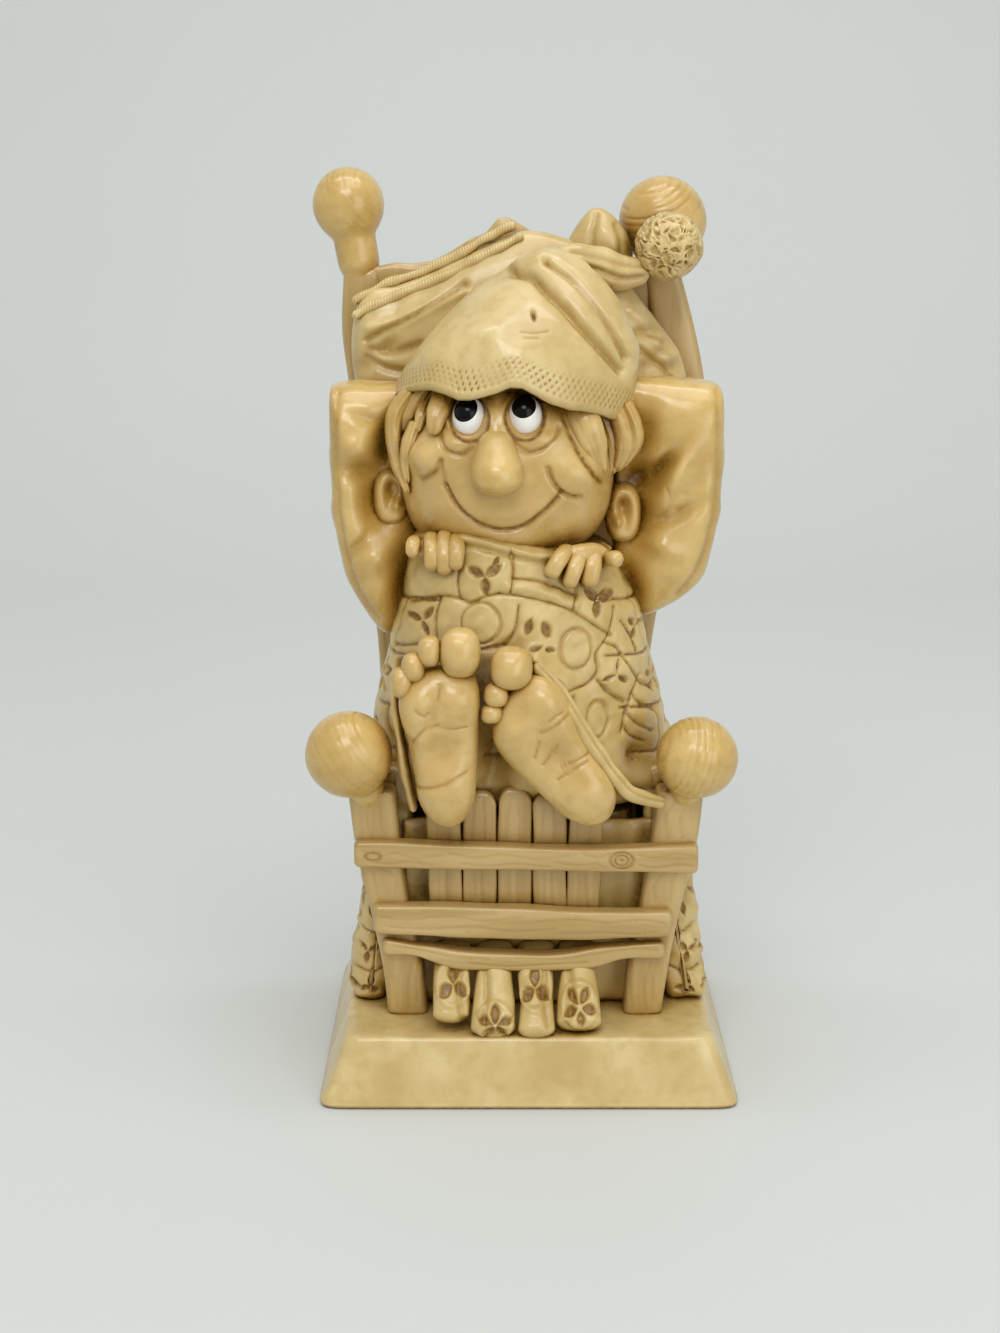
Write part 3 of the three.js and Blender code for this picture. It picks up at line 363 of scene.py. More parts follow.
def pebble(outline, middle, depth, power=2.5, rings=90, around=200):
    """A rounded stone seen from the front. Its reach at each angle comes from a smooth closed outline. Over
    t from 0 to a half turn the reach is scaled by sin(t)^(2 / power), and y runs from the front depth
    to the back depth as cos(t)^(2 / power)."""
    line = np.asarray(outline, float)
    line = flowing(np.vstack([line[-2:], line, line[:2]]), 900)
    rel = line - np.array([middle[0], middle[2]])
    angle = np.arctan2(rel[:, 1], rel[:, 0])
    turn = np.linspace(0, 2 * np.pi, around, endpoint=False)
    reach = np.interp(turn, angle, np.hypot(rel[:, 0], rel[:, 1]), period=2 * np.pi)
    t = np.linspace(0.03, np.pi - 0.03, rings)
    share = np.sin(t) ** (2 / power)
    shift = np.abs(np.cos(t)) ** (2 / power)
    y = np.where(np.cos(t) > 0, -depth[0], depth[1]) * shift
    grid = np.zeros((rings, around, 3))
    grid[:, :, 0] = middle[0] + share[:, None] * reach * np.cos(turn)
    grid[:, :, 1] = middle[1] + y[:, None]
    grid[:, :, 2] = middle[2] + share[:, None] * reach * np.sin(turn)
    return Skin(grid)


def oval(middle, half, power=2.0, count=48):
    """Outline points of a superellipse in the front view."""
    a, b = ring(power, count, half[0], half[1])
    return np.stack([middle[0] + half[0] * a, middle[1] + half[1] * b], -1)


def head_front(x, z):
    """How far forward the face lies: middle - depth * (1 - |x|^p - |z|^p)^(1 / p), with x and z in half
    widths of the head."""
    u = np.abs((np.asarray(x) - HEAD_MIDDLE[0]) / HEAD_HALF[0]) ** HEAD_POWER
    v = np.abs((np.asarray(z) - HEAD_MIDDLE[2]) / HEAD_HALF[2]) ** HEAD_POWER
    rest = np.maximum(1 - u - v, 0.0) ** (1 / HEAD_POWER)
    return HEAD_MIDDLE[1] - HEAD_HALF[1] * rest


def add_piece(name, skins, finish, nodes):
    """Joins skins in one smooth mesh in metres, keeps their stain and painted shade in a point attribute,
    and puts the piece in place of its CAD nodes."""
    first = np.cumsum([0] + [len(s.points) for s in skins])
    points = np.vstack([s.points for s in skins]) * MM
    quads = np.vstack([s.quads + o for s, o in zip(skins, first)])
    fans = np.vstack([s.fans + o for s, o in zip(skins, first)])
    mesh = bpy.data.meshes.new(name)
    mesh.vertices.add(len(points))
    mesh.vertices.foreach_set("co", points.astype(np.float32).ravel())
    corners = np.concatenate([quads.ravel(), fans.ravel()]).astype(np.int32)
    mesh.loops.add(len(corners))
    mesh.loops.foreach_set("vertex_index", corners)
    starts = np.concatenate([np.arange(len(quads)) * 4, 4 * len(quads) + np.arange(len(fans)) * 3])
    mesh.polygons.add(len(starts))
    mesh.polygons.foreach_set("loop_start", starts.astype(np.int32))
    mesh.polygons.foreach_set("use_smooth", np.ones(len(starts), bool))
    mesh.update(calc_edges=True)
    # The stain, with painted shade in some hollows, goes to the material as a point attribute
    wash_and_shade = np.concatenate([s.wash_and_shade for s in skins]).astype(np.float32)
    mesh.attributes.new("wash_and_shade", "FLOAT", "POINT").data.foreach_set("value", wash_and_shade)
    if mesh.validate():
        raise RuntimeError(f"{name} has faces that Blender had to mend")
    mesh.materials.append(finish)
    piece = bpy.data.objects.new(name, mesh)
    bpy.context.scene.collection.objects.link(piece)
    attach(piece, "root")
    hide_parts(*nodes)


def add_node(tree, kind, values=None, links=None, **settings):
    """Adds a node with its settings, the values of its inputs, and links from other nodes' outputs."""
    made = tree.nodes.new("ShaderNode" + kind)
    for key, value in settings.items():
        setattr(made, key, value)
    for key, value in (values or {}).items():
        made.inputs[key].default_value = value
    for key, source in (links or {}).items():
        tree.links.new(source, made.inputs[key])
    return made


def blank_material(name):
    """A new material with an empty node tree and its output node."""
    material = bpy.data.materials.new(name)
    material.use_nodes = True
    tree = material.node_tree
    tree.nodes.clear()
    return material, tree, add_node(tree, "OutputMaterial")


def resin_finish(name, colour, stain, gloss, hollow_shade, blotch, flow):
    """Cast polyester resin, poured in a mould, rubbed with brown stain and lacquered.

    The eye sees a waxy cream body with faint cloudy blotches, drawn out along the grain where it stands for
    timber, mottled where the stain was wiped unevenly, a painted honey-brown shade in wide recesses, brown
    in the carving and where pieces meet, partly stain that stayed there and partly painted shade, nearly
    black where the stain pooled and the painted shade is deepest, and small glints from the lacquer, which
    follows a faint orange-peel unevenness.
    """
    if name in bpy.data.materials:
        return bpy.data.materials[name]
    material, tree, out = blank_material(name)
    place = add_node(tree, "TexCoord").outputs["Object"]
    drawn = add_node(tree, "Mapping", {"Scale": flow}, {"Vector": place}).outputs["Vector"]
    # Noises: size in millimetres, detail and place. Clouds in the body, mottling where the stain was wiped
    # unevenly, grains of stain, drawn about twice as coarse as real pigment so that they show, and the
    # lacquer's orange peel
    noises = {
        "cloud": (blotch, 3.0, drawn), "speck": (2.1, 5.0, drawn), "grain": (0.8, 2.0, place),
        "peel": (1.4, 3.0, place),
    }
    fields = {}
    for key, (size, detail, where) in noises.items():
        noise = add_node(
            tree, "TexNoise", {"Scale": 1 / (size * MM), "Detail": detail}, {"Vector": where},
        )
        fields[key] = noise.outputs["Fac"]
    # Ambient occlusion, for painted shade: hollows about a centimetre across, and narrow ones where pieces
    # meet
    for key, reach in (("wide", 13), ("narrow", 4.5)):
        fields[key] = add_node(tree, "AmbientOcclusion", {"Distance": reach * MM}, samples=8).outputs["AO"]
    # Ranges: what each reads, and the span that it maps from and to
    spans = ("From Min", "From Max", "To Min", "To Max")
    ranges = {
        "cloudy": ("cloud", 0.35, 0.68, 0.0, 1.0), "wiped": ("speck", 0.46, 0.74, 0.0, 0.55),
        # The wide range sets painted shade; the narrow one is partly stain and partly painted shade
        "shade": ("wide", 0.8, 0.28, 0.0, hollow_shade), "crevice_shade": ("narrow", 0.72, 0.15, 0.0, 1.0),
        "uneven": ("grain", 0.3, 0.7, 0.66, 1.12),
        "rough": ("peel", 0.3, 0.7, gloss - 0.06, gloss + 0.12),
    }
    for key, (source, *span) in ranges.items():
        mapped = add_node(tree, "MapRange", dict(zip(spans, span)), {"Value": fields[source]})
        fields[key] = mapped.outputs["Result"]
    # The amount of stain and painted shade: the carved wash, which holds painted shade in some hollows too,
    # or the painted shade of the narrow crevices, whichever is more, unevenly
    wash_and_shade = add_node(tree, "Attribute", attribute_name="wash_and_shade").outputs["Fac"]
    both = add_node(tree, "Math", links={0: wash_and_shade, 1: fields["crevice_shade"]}, operation="MAXIMUM")
    links = {0: both.outputs["Value"], 1: fields["uneven"]}
    stain_shade_amount = add_node(tree, "Math", links=links, operation="MULTIPLY", use_clamp=True).outputs["Value"]
    # A film of stain and painted shade browns the resin; past half of the full amount the stain pools and
    # the painted shade goes nearly black, and the lacquer that sank in there is dull
    depths = {"film": (0.0, 0.7, 0.0, 1.0), "pool": (0.45, 1.0, 0.0, 0.9), "dull": (0.1, 0.9, 0.45, 0.08)}
    for key, span in depths.items():
        mapped = add_node(tree, "MapRange", dict(zip(spans, span)), {"Value": stain_shade_amount})
        fields[key] = mapped.outputs["Result"]
    # Layers of colour over the clouded body: mottling, a painted honey-brown shade in wide hollows, and the
    # film and pools of stain and painted shade
    pale = tuple(min(1.0, c * 1.08) for c in colour) + (1,)
    deep = (*np.multiply(colour, (0.86, 0.79, 0.63)), 1)
    layers = {
        "wiped": np.multiply(colour, (0.78, 0.68, 0.46)),
        "shade": np.multiply(colour, (0.75, 0.56, 0.26)), "film": np.multiply(colour, (0.6, 0.45, 0.14)),
        "pool": stain,
    }
    body = add_node(tree, "Mix", {6: pale, 7: deep}, {0: fields["cloudy"]}, data_type="RGBA")
    for key, tone in layers.items():
        links = {0: fields[key], 6: body.outputs[2]}
        body = add_node(tree, "Mix", {7: (*tone, 1)}, links, data_type="RGBA")
    bump = add_node(tree, "Bump", {"Strength": 0.22, "Distance": 0.16 * MM}, {"Height": fields["peel"]})
    shader = add_node(
        tree, "BsdfPrincipled", {"IOR": 1.52, "Coat Roughness": 0.12, "Coat IOR": 1.48},
        {
            "Base Color": body.outputs[2], "Coat Weight": fields["dull"], "Roughness": fields["rough"],
            "Normal": bump.outputs["Normal"],
        },
    )
    tree.links.new(shader.outputs["BSDF"], out.inputs["Surface"])
    return material


def enamel_finish(name, colour, fleck, ior):
    """Gloss enamel, brushed on the eyes: nearly even colour with faint brush pooling and a sharp glint."""
    if name in bpy.data.materials:
        return bpy.data.materials[name]
    material, tree, out = blank_material(name)
    place = add_node(tree, "TexCoord").outputs["Object"]
    pool = add_node(tree, "TexNoise", {"Scale": 1 / (1.2 * MM), "Detail": 2.0}, {"Vector": place})
    paint = add_node(
        tree, "Mix", {6: tuple(colour) + (1,), 7: tuple(fleck) + (1,)}, {0: pool.outputs["Fac"]},
        data_type="RGBA",
    )
    bump = add_node(
        tree, "Bump", {"Strength": 0.06, "Distance": 0.05 * MM}, {"Height": pool.outputs["Fac"]},
    )
    shader = add_node(
        tree, "BsdfPrincipled", {"Roughness": 0.14, "IOR": ior},
        {"Base Color": paint.outputs[2], "Normal": bump.outputs["Normal"]},
    )
    tree.links.new(shader.outputs["BSDF"], out.inputs["Surface"])
    return material


def card_finish(name, colour):
    """Matt white card, coated and faintly clouded over a hand's width."""
    material, tree, out = blank_material(name)
    place = add_node(tree, "TexCoord").outputs["Object"]
    cloud = add_node(tree, "TexNoise", {"Scale": 1 / (120 * MM), "Detail": 1.0}, {"Vector": place})
    darker = tuple(c * 0.97 for c in colour) + (1,)
    tone = add_node(
        tree, "Mix", {6: tuple(colour) + (1,), 7: darker}, {0: cloud.outputs["Fac"]}, data_type="RGBA",
    )
    shader = add_node(tree, "BsdfPrincipled", {"Roughness": 0.7}, {"Base Color": tone.outputs[2]})
    tree.links.new(shader.outputs["BSDF"], out.inputs["Surface"])
    return material


def resin(context, slot):
    """The resin of one of the record's slots, in its own colour."""
    colours = context.scene.sleeper_colours
    # Each slot's colour, gloss and how dark the painted shade in its wide hollows goes
    shades = {
        "cream_resin": (colours.cream, 0.34, 0.15), "amber_resin": (colours.amber, 0.27, 0.95),
        "skin_resin": (colours.skin, 0.29, 0.5), "quilt_resin": (colours.quilt, 0.38, 0.5),
    }
    colour, gloss, hollow_shade = shades[slot]
    name = f"cast_{slot}"
    return resin_finish(name, tuple(colour), tuple(colours.stain), gloss, hollow_shade, 9.0, (1, 1, 1))


def timber(context, way):
    """Resin that stands for timber: streaks about 2 mm apart that run across or up."""
    colours = context.scene.sleeper_colours
    flow = {"across": (0.08, 1, 1), "up": (1, 1, 0.08)}[way]
    name = f"cast_timber_grain_{way}"
    # 0.45 sets how dark the painted shade in the wide hollows goes
    return resin_finish(name, tuple(colours.timber), tuple(colours.stain), 0.32, 0.45, 2.2, flow)


def mm(length):
    """A length property, in metres, as millimetres."""
    return length / MM


def box_corners(box):
    """Low and high corner of a CAD node's box, in millimetres."""
    return [np.array(corner) / MM for corner in box]


class SLEEPER_OT_plinth(bpy.types.Operator):
    """Makes the sloping base with its bare front"""

    bl_idname = "sleeper.plinth"
    bl_label = "Base plinth"

    def execute(self, context):
        low, high = box_corners(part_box("base_plinth"))
        half = (high - low)[:2] / 2
        tall = high[2]
        # Each row: how far the ring lies inside the foot of the slope, and its height
        slope = np.linspace(0, 1, 46)[1:-1]
        foot = [(0.9, 0.0), (0.35, 0.05), (0.1, 0.22), (0.0, 0.6)]
        face = np.stack([0.1 + 3.35 * slope, 0.6 + (tall - 1.3) * slope], -1)
        edge = [(3.5, tall - 0.66), (3.66, tall - 0.34), (3.95, tall - 0.12), (4.4, tall - 0.02)]
        inner = np.linspace(5.2, 22, 30)
        top = np.stack([inner, np.full_like(inner, tall)], -1)
        rows = np.vstack([foot, face, edge, top])
        around = 320
        a, b = ring(26, around, *half)
        grid = np.zeros((len(rows), around, 3))
        grid[:, :, 0] = (half[0] - rows[:, 0, None]) * a
        grid[:, :, 1] = (half[1] - rows[:, 0, None]) * b
        grid[:, :, 2] = rows[:, 1, None]
        base = Skin(grid)
        rise = np.clip((base.points[:, 2] - 0.4) / 2, 0, 1)
        base.push(0.07 * rise * lumps(base.points, 17, 3) - 0.07 * rise)
        add_piece("base", [base], resin(context, "cream_resin"), ["base_plinth"])
        return {"FINISHED"}


def grained(board, lines, depth, view="front"):
    """Cuts grain lines in a board, in three widths and two depths by turns."""
    for k, line in enumerate(lines):
        board.carve(line, 0.15 + 0.03 * (k % 3), depth * (0.75 + 0.25 * (k % 2)), 0.2, view)


class SLEEPER_OT_footboard(bpy.types.Operator):
    """Makes the footboard's posts, rails and slats, with their grain and knots"""

    bl_idname = "sleeper.footboard"
    bl_label = "Footboard"

    def execute(self, context):
        grain = mm(context.scene.sleeper_sizes.grain_depth)
        upright = timber(context, "up")
        across = timber(context, "across")
        # The plane across y that posts and slats stand in, and each post's height, middle and half widths
        plane = -13.5
        posts = {
            "left": [
                (9.6, -18.6, 3.1, 2.5), (19.0, -19.5, 3.1, 2.6), (29.0, -21.5, 3.1, 2.6),
                (38.0, -22.9, 3.4, 2.6), (46.0, -23.6, 3.6, 2.6),
            ],
            "right": [
                (9.6, 17.7, 3.0, 2.5), (19.0, 18.6, 3.1, 2.6), (29.0, 20.5, 3.2, 2.6),
                (38.0, 22.0, 3.5, 2.6), (46.0, 22.8, 3.6, 2.6),
            ],
        }
        for side, table in posts.items():
            rows = [(z, x, plane, wide, deep) for z, x, wide, deep in table]
            post = loft(rows, 120, 64, 5, dome=0.8, blunt=True)
            x = rows[0][1]
            lines = [
                [(x - 1.6, 11), (x - 2.1, 15), (x - 1.9, 19)],
                [(x + 0.4, 10.5), (x + 0.1, 14.5), (x + 0.9, 18.6)],
                [(x + 1.6, 12), (x + 1.5, 16), (x + 1.9, 19)],
                [(rows[2][1] - 1.2, 28.5), (rows[2][1] - 1.6, 31), (rows[3][1] - 1.0, 34)],
                [(rows[2][1] + 1.0, 28.5), (rows[2][1] + 1.3, 32), (rows[3][1] + 0.6, 34)],
                [(rows[3][1] - 0.9, 38.5), (rows[3][1] - 1.4, 42), (rows[4][1] - 0.6, 45)],
                [(rows[3][1] + 1.2, 38.6), (rows[3][1] + 0.7, 41.5), (rows[4][1] + 1.3, 45)],
            ]
            grained(post, lines, grain)
            post.roughen(0.12, 11, 5)
            add_piece(f"foot_post_{side}", [post], upright, [f"footboard_post_{side}"])

        # Rails: x, then the middle and half widths on y and z
        rails = {
            "top": [
                (-26.2, -16.5, 36.6, 1.5, 2.0), (-19.3, -16.5, 36.45, 1.6, 2.1),
                (-10.3, -16.6, 36.15, 1.6, 2.0), (-1.3, -16.6, 35.95, 1.6, 1.9),
                (10.6, -16.6, 35.7, 1.6, 1.85), (19.6, -16.5, 35.75, 1.6, 2.05),
                (25.4, -16.5, 35.8, 1.5, 2.25),
            ],
            "middle": [
                (-23.4, -16.5, 26.2, 1.5, 2.2), (-14.9, -16.5, 25.95, 1.6, 2.45),
                (-4.3, -16.6, 25.6, 1.6, 2.6), (4.7, -16.6, 25.3, 1.6, 2.45),
                (13.8, -16.5, 25.2, 1.6, 2.2), (21.6, -16.5, 25.4, 1.5, 2.0),
            ],
            "bottom": [
                (-22.0, -16.3, 21.6, 1.4, 1.2), (-17.0, -16.3, 21.1, 1.5, 0.95),
                (-14.6, -16.3, 20.5, 1.5, 1.25), (-11.5, -16.4, 19.7, 1.6, 1.5),
                (-4.3, -16.5, 19.35, 1.6, 1.35), (6.3, -16.5, 19.4, 1.6, 1.45),
                (11.0, -16.4, 20.1, 1.6, 1.6), (14.0, -16.3, 20.7, 1.5, 1.25),
                (20.6, -16.3, 21.1, 1.4, 1.25),
            ],
        }
        lines = {
            "top": [
                [(-25, 37.3), (-22.5, 36.4), (-20, 36.9), (-17, 36.2), (-13, 36.6)],
                [(-24, 35.6), (-21, 35.2), (-18, 35.6), (-14.5, 35)],
                [(-12, 37), (-8, 36.2), (-4, 36.7), (1, 36.1), (6, 36.6)],
                [(-10, 35.3), (-6, 34.9), (-2, 35.2), (3, 34.8)],
                [(4, 35.6), (7, 35.1), (10, 35.3), (11.4, 34.6)], [(8, 36.8), (10.5, 36.3), (12, 37)],
                [(16.4, 36.6), (19, 36.2), (22, 36.9), (24.6, 36.5)],
                [(16.5, 35), (19, 34.6), (22.5, 35.1), (24.5, 34.8)],
            ],
            "middle": [
                [(-22.5, 26.8), (-18, 26.3), (-12, 26.9), (-7, 26.2), (-1, 26.7)],
                [(-21, 25.2), (-15, 24.8), (-9, 25.2), (-3, 24.5), (4, 24.8)],
                [(-16, 27.6), (-10, 27.4), (-5, 27.3)],
                [(1, 26), (7, 26.3), (12, 25.8), (17, 26.2), (20.5, 25.7)],
                [(5, 24), (11, 24.2), (16, 23.9), (19.5, 24.4)],
            ],
            "bottom": [
                [(-20.5, 22), (-17, 21.4), (-12, 20.4), (-6, 19.9)],
                [(-9, 19.2), (-3, 18.8), (4, 19.1), (9, 19.4)],
                [(-2, 20.1), (5, 19.9), (10, 20.7), (16, 21.4), (19.6, 21.3)],
            ],
        }
        for word, rows in rails.items():
            rail = loft(rows, 180, 72, 5, axis=0, dome=0.7, blunt=True)
            grained(rail, lines[word], grain)
            # Knots: rings round a dark middle, and a single ring at the far end
            if word == "top":
                knot = (13.9, 35.8)
                rail.loop(knot, (0.95, 0.8), 0.16, grain * 1.3)
                rail.loop(knot, (1.7, 1.3), 0.2, grain * 1.2)
                rail.swell(knot, (0.35, 0.3), -0.3, 0.8)
                rail.loop((-23.4, 36.4), (1.1, 0.6), 0.18, grain)
            rail.roughen(0.1, 9, 8)
            add_piece(f"rail_{word}", [rail], across, [f"footboard_rail_{word}"])

        for k in range(5):
            low, high = box_corners(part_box(f"footboard_slat_{k + 1}"))
            x = (low[0] + high[0]) / 2
            top = high[2] + (0.3, -0.2, 0.35, -0.3, 0.1)[k]
            lean = (-0.25, 0.1, 0.0, -0.12, 0.3)[k]
            rows = [
                (low[2], x - lean, plane, 2.56, 1.2), (34.0, x, plane, 2.6, 1.25),
                (top, x + lean, plane, 2.5, 1.2),
            ]
            slat = loft(rows, 80, 64, 7, dome=2.3)
            lines = [
                [(x - 1.2, 24.5), (x - 0.9, 31), (x - 1.3, 38), (x - 0.8, top - 2)],
                [(x + 0.6, 25), (x + 0.2, 32), (x + 0.7, 40), (x + 0.4, top - 1.5)],
            ]
            grained(slat, lines, grain)
            slat.roughen(0.1, 8, 20 + k)
            add_piece(f"slat_{k + 1}", [slat], upright, [f"footboard_slat_{k + 1}"])
        return {"FINISHED"}


class SLEEPER_OT_finials(bpy.types.Operator):
    """Makes the four turned balls of the bed on their necks"""

    bl_idname = "sleeper.finials"
    bl_label = "Bed balls"

    def execute(self, context):
        depth = mm(context.scene.sleeper_sizes.grain_depth)
        # Each ball: foot of its neck, middle and radius of the ball, the way its rings of grain face, and
        # how strongly they show
        balls = {
            "footboard_finial_left": (
                (-23.5, -13.5, 43.6), (-26.8, -16.7, 52.0), 6.45, (0.75, -0.2, 0.62), 0.6,
            ),
            "footboard_finial_right": (
                (22.8, -13.5, 43.6), (24.9, -16.7, 51.5), 6.05, (-0.9, -0.2, 0.3), 0.95,
            ),
            "headboard_finial_left": (
                (-26.2, 20.0, 119.5), (-28.1, 20.0, 131.1), 5.65, (0.8, -0.3, 0.5), 0.7,
            ),
            "headboard_finial_right": (
                (21.1, 20.0, 119.5), (21.1, 18.5, 128.6), 6.85, (-0.3, -0.35, 0.88), 1.3,
            ),
        }
        for k, (name, (foot, ball, radius, ringway, bold)) in enumerate(balls.items()):
            foot, ball, ringway = (np.array(v, float) for v in (foot, ball, ringway))
            reach = np.linalg.norm(ball - foot)
            way = (ball - foot) / reach
            # Turned profile, by rings along the neck and over the ball: the sixth-power mean of a waisted
            # neck and a ball
            on_neck = np.linspace(0, reach - radius * 0.8, 24)
            on_ball = reach - radius * np.cos(np.linspace(np.arccos(0.79), np.pi - 0.04, 90))
            s = np.concatenate([on_neck, on_ball])
            stout = 3.35 if name.startswith("head") else 2.85
            waist = 1 - 0.25 * np.exp(-((s / 1.6) ** 2))
            neck = stout * np.clip((reach - s) / (0.3 * reach), 0, 1) * waist
            sphere = np.sqrt(np.maximum(radius**2 - (s - reach) ** 2, 0))
            wide = (neck**6 + sphere**6) ** (1 / 6)
            spoke = spokes(way, (0, 1, 0.2), 104)
            skin = Skin(foot + s[:, None, None] * way + wide[:, None, None] * spoke)
            # How far each point lies on the ball and clear of the neck, from 0 to 1
            rel = skin.points - ball
            clear = np.clip((np.linalg.norm(rel, axis=1) / radius - 0.9) / 0.06, 0, 1)
            clear *= np.clip(((rel @ way) / radius + 0.86) / 0.2, 0, 1)
            height = rel @ (ringway / np.linalg.norm(ringway)) + 0.35 * lumps(rel, 13, 31 + k)
            # Rings of grain: grooves where the ball meets parallel planes, fading in and out round it
            for j, level in enumerate((0.9, 0.76, 0.64, 0.5, 0.36, 0.2, 0.02, -0.2)):
                fall = np.exp(-(((height - level * radius) / 0.15) ** 2)) * clear
                fade = np.clip(0.55 + 0.8 * lumps(rel, 9, 50 + 7 * k + j), 0, 1)
                skin.push(-bold * depth * fall * fade, 0.3 * bold * fall * fade)
            skin.roughen(0.1, 7, 40 + k)
            amber = resin(context, "amber_resin")
            add_piece(name.replace("board_finial", "_ball"), [skin], amber, [name])
        return {"FINISHED"}


class SLEEPER_OT_headboard(bpy.types.Operator):
    """Makes the headboard's bent posts and its crested panel of planks"""

    bl_idname = "sleeper.headboard"
    bl_label = "Headboard"

    def execute(self, context):
        grain = mm(context.scene.sleeper_sizes.grain_depth)
        upright = timber(context, "up")
        # The plane across y that the headboard stands in, and the middle of each post at five heights; the
        # panel's low edge runs along these lines
        plane = 20.0
        heights = (9.6, 64.0, 102.0, 112.0, 121.5)
        posts = {"left": (-18.5, -21.2, -24.75, -25.7, -26.3), "right": (15.5, 17.5, 25.0, 23.0, 21.1)}
        for side, middles in posts.items():
            rows = [(z, x, plane, 3.6, 3.0) for z, x in zip(heights, middles)]
            rows[-1] = rows[-1][:3] + (2.7, 2.5)
            post = loft(rows, 240, 72, 5, dome=1.4, blunt=True)
            for view in ("front", "back", side):
                z = np.array([12.0, 36.0, 60.0, 84.0, 98.0])
                x = np.full(5, plane) if view == side else np.interp(z, heights, middles)
                bend = np.array([0.0, 0.35, -0.2, 0.3, 0.0])
                for k, across in enumerate((-1.7, -0.6, 0.5, 1.6)):
                    line = np.stack([x + across + bend * (-1) ** k, z], -1)
                    grained(post, [line[k % 2 : 4 + k % 2]], grain, view)
            post.roughen(0.15, 14, 60)
            add_piece(f"head_post_{side}", [post], upright, [f"headboard_post_{side}"])

        # The panel's top edge, and its low edge, which steps up along the posts on either side
        crest = [
            (-25.2, 121.4), (-23.2, 121.6), (-20.9, 122.0), (-18.2, 121.8), (-15.0, 122.3),
            (-12.5, 123.6), (-9.0, 125.8), (-6.5, 126.8), (-4.6, 128.9), (-3.1, 129.0), (-1.5, 128.2),
            (2.7, 125.7), (5.1, 123.9), (12.0, 121.9), (22.0, 121.2),
        ]
        crest = np.array(crest)
        x = np.linspace(crest[0, 0], crest[-1, 0], 80)
        top = np.interp(x, crest[:, 0], crest[:, 1])
        foot = np.interp(
            x, [-25.2, -24.0, -21.2, -18.5, 15.5, 17.5, 22.0], [105, 92, 64, 10.1, 10.1, 64, 88],
        )
        half_thick = 1.8
        even = np.ones(len(x))
        rows = np.stack([x, plane * even, (top + foot) / 2, half_thick * even, (top - foot) / 2], -1)
        panel = loft(rows, 160, 300, 12, axis=0, dome=0.5, blunt=True)
        for x in (-12.4, -6.6, -0.8, 5.0, 10.8):
            panel.carve([(x, 9), (x + 0.3, 45), (x - 0.2, 85), (x, 131)], 0.4, 0.5, 0.75, "back")
        for k, x in enumerate((-16.4, -14.3, -10.4, -8.4, -4.6, -2.4, 1.2, 3.2, 7.0, 9.0, 12.4, 14.2)):
            start = 14 + 9 * (k % 4)
            line = [(x, start), (x + 0.4, start + 26), (x - 0.5, start + 52), (x, start + 74)]
            grained(panel, [line], grain, "back")
        panel.loop((-11.6, 78.0), (1.1, 2.0), 0.22, grain * 1.4, 0.6, "back")
        panel.loop((3.4, 48.0), (1.0, 1.7), 0.22, grain * 1.4, 0.6, "back")
        panel.roughen(0.12, 16, 61)
        add_piece("head_panel", [panel], upright, ["headboard_panel"])
        return {"FINISHED"}


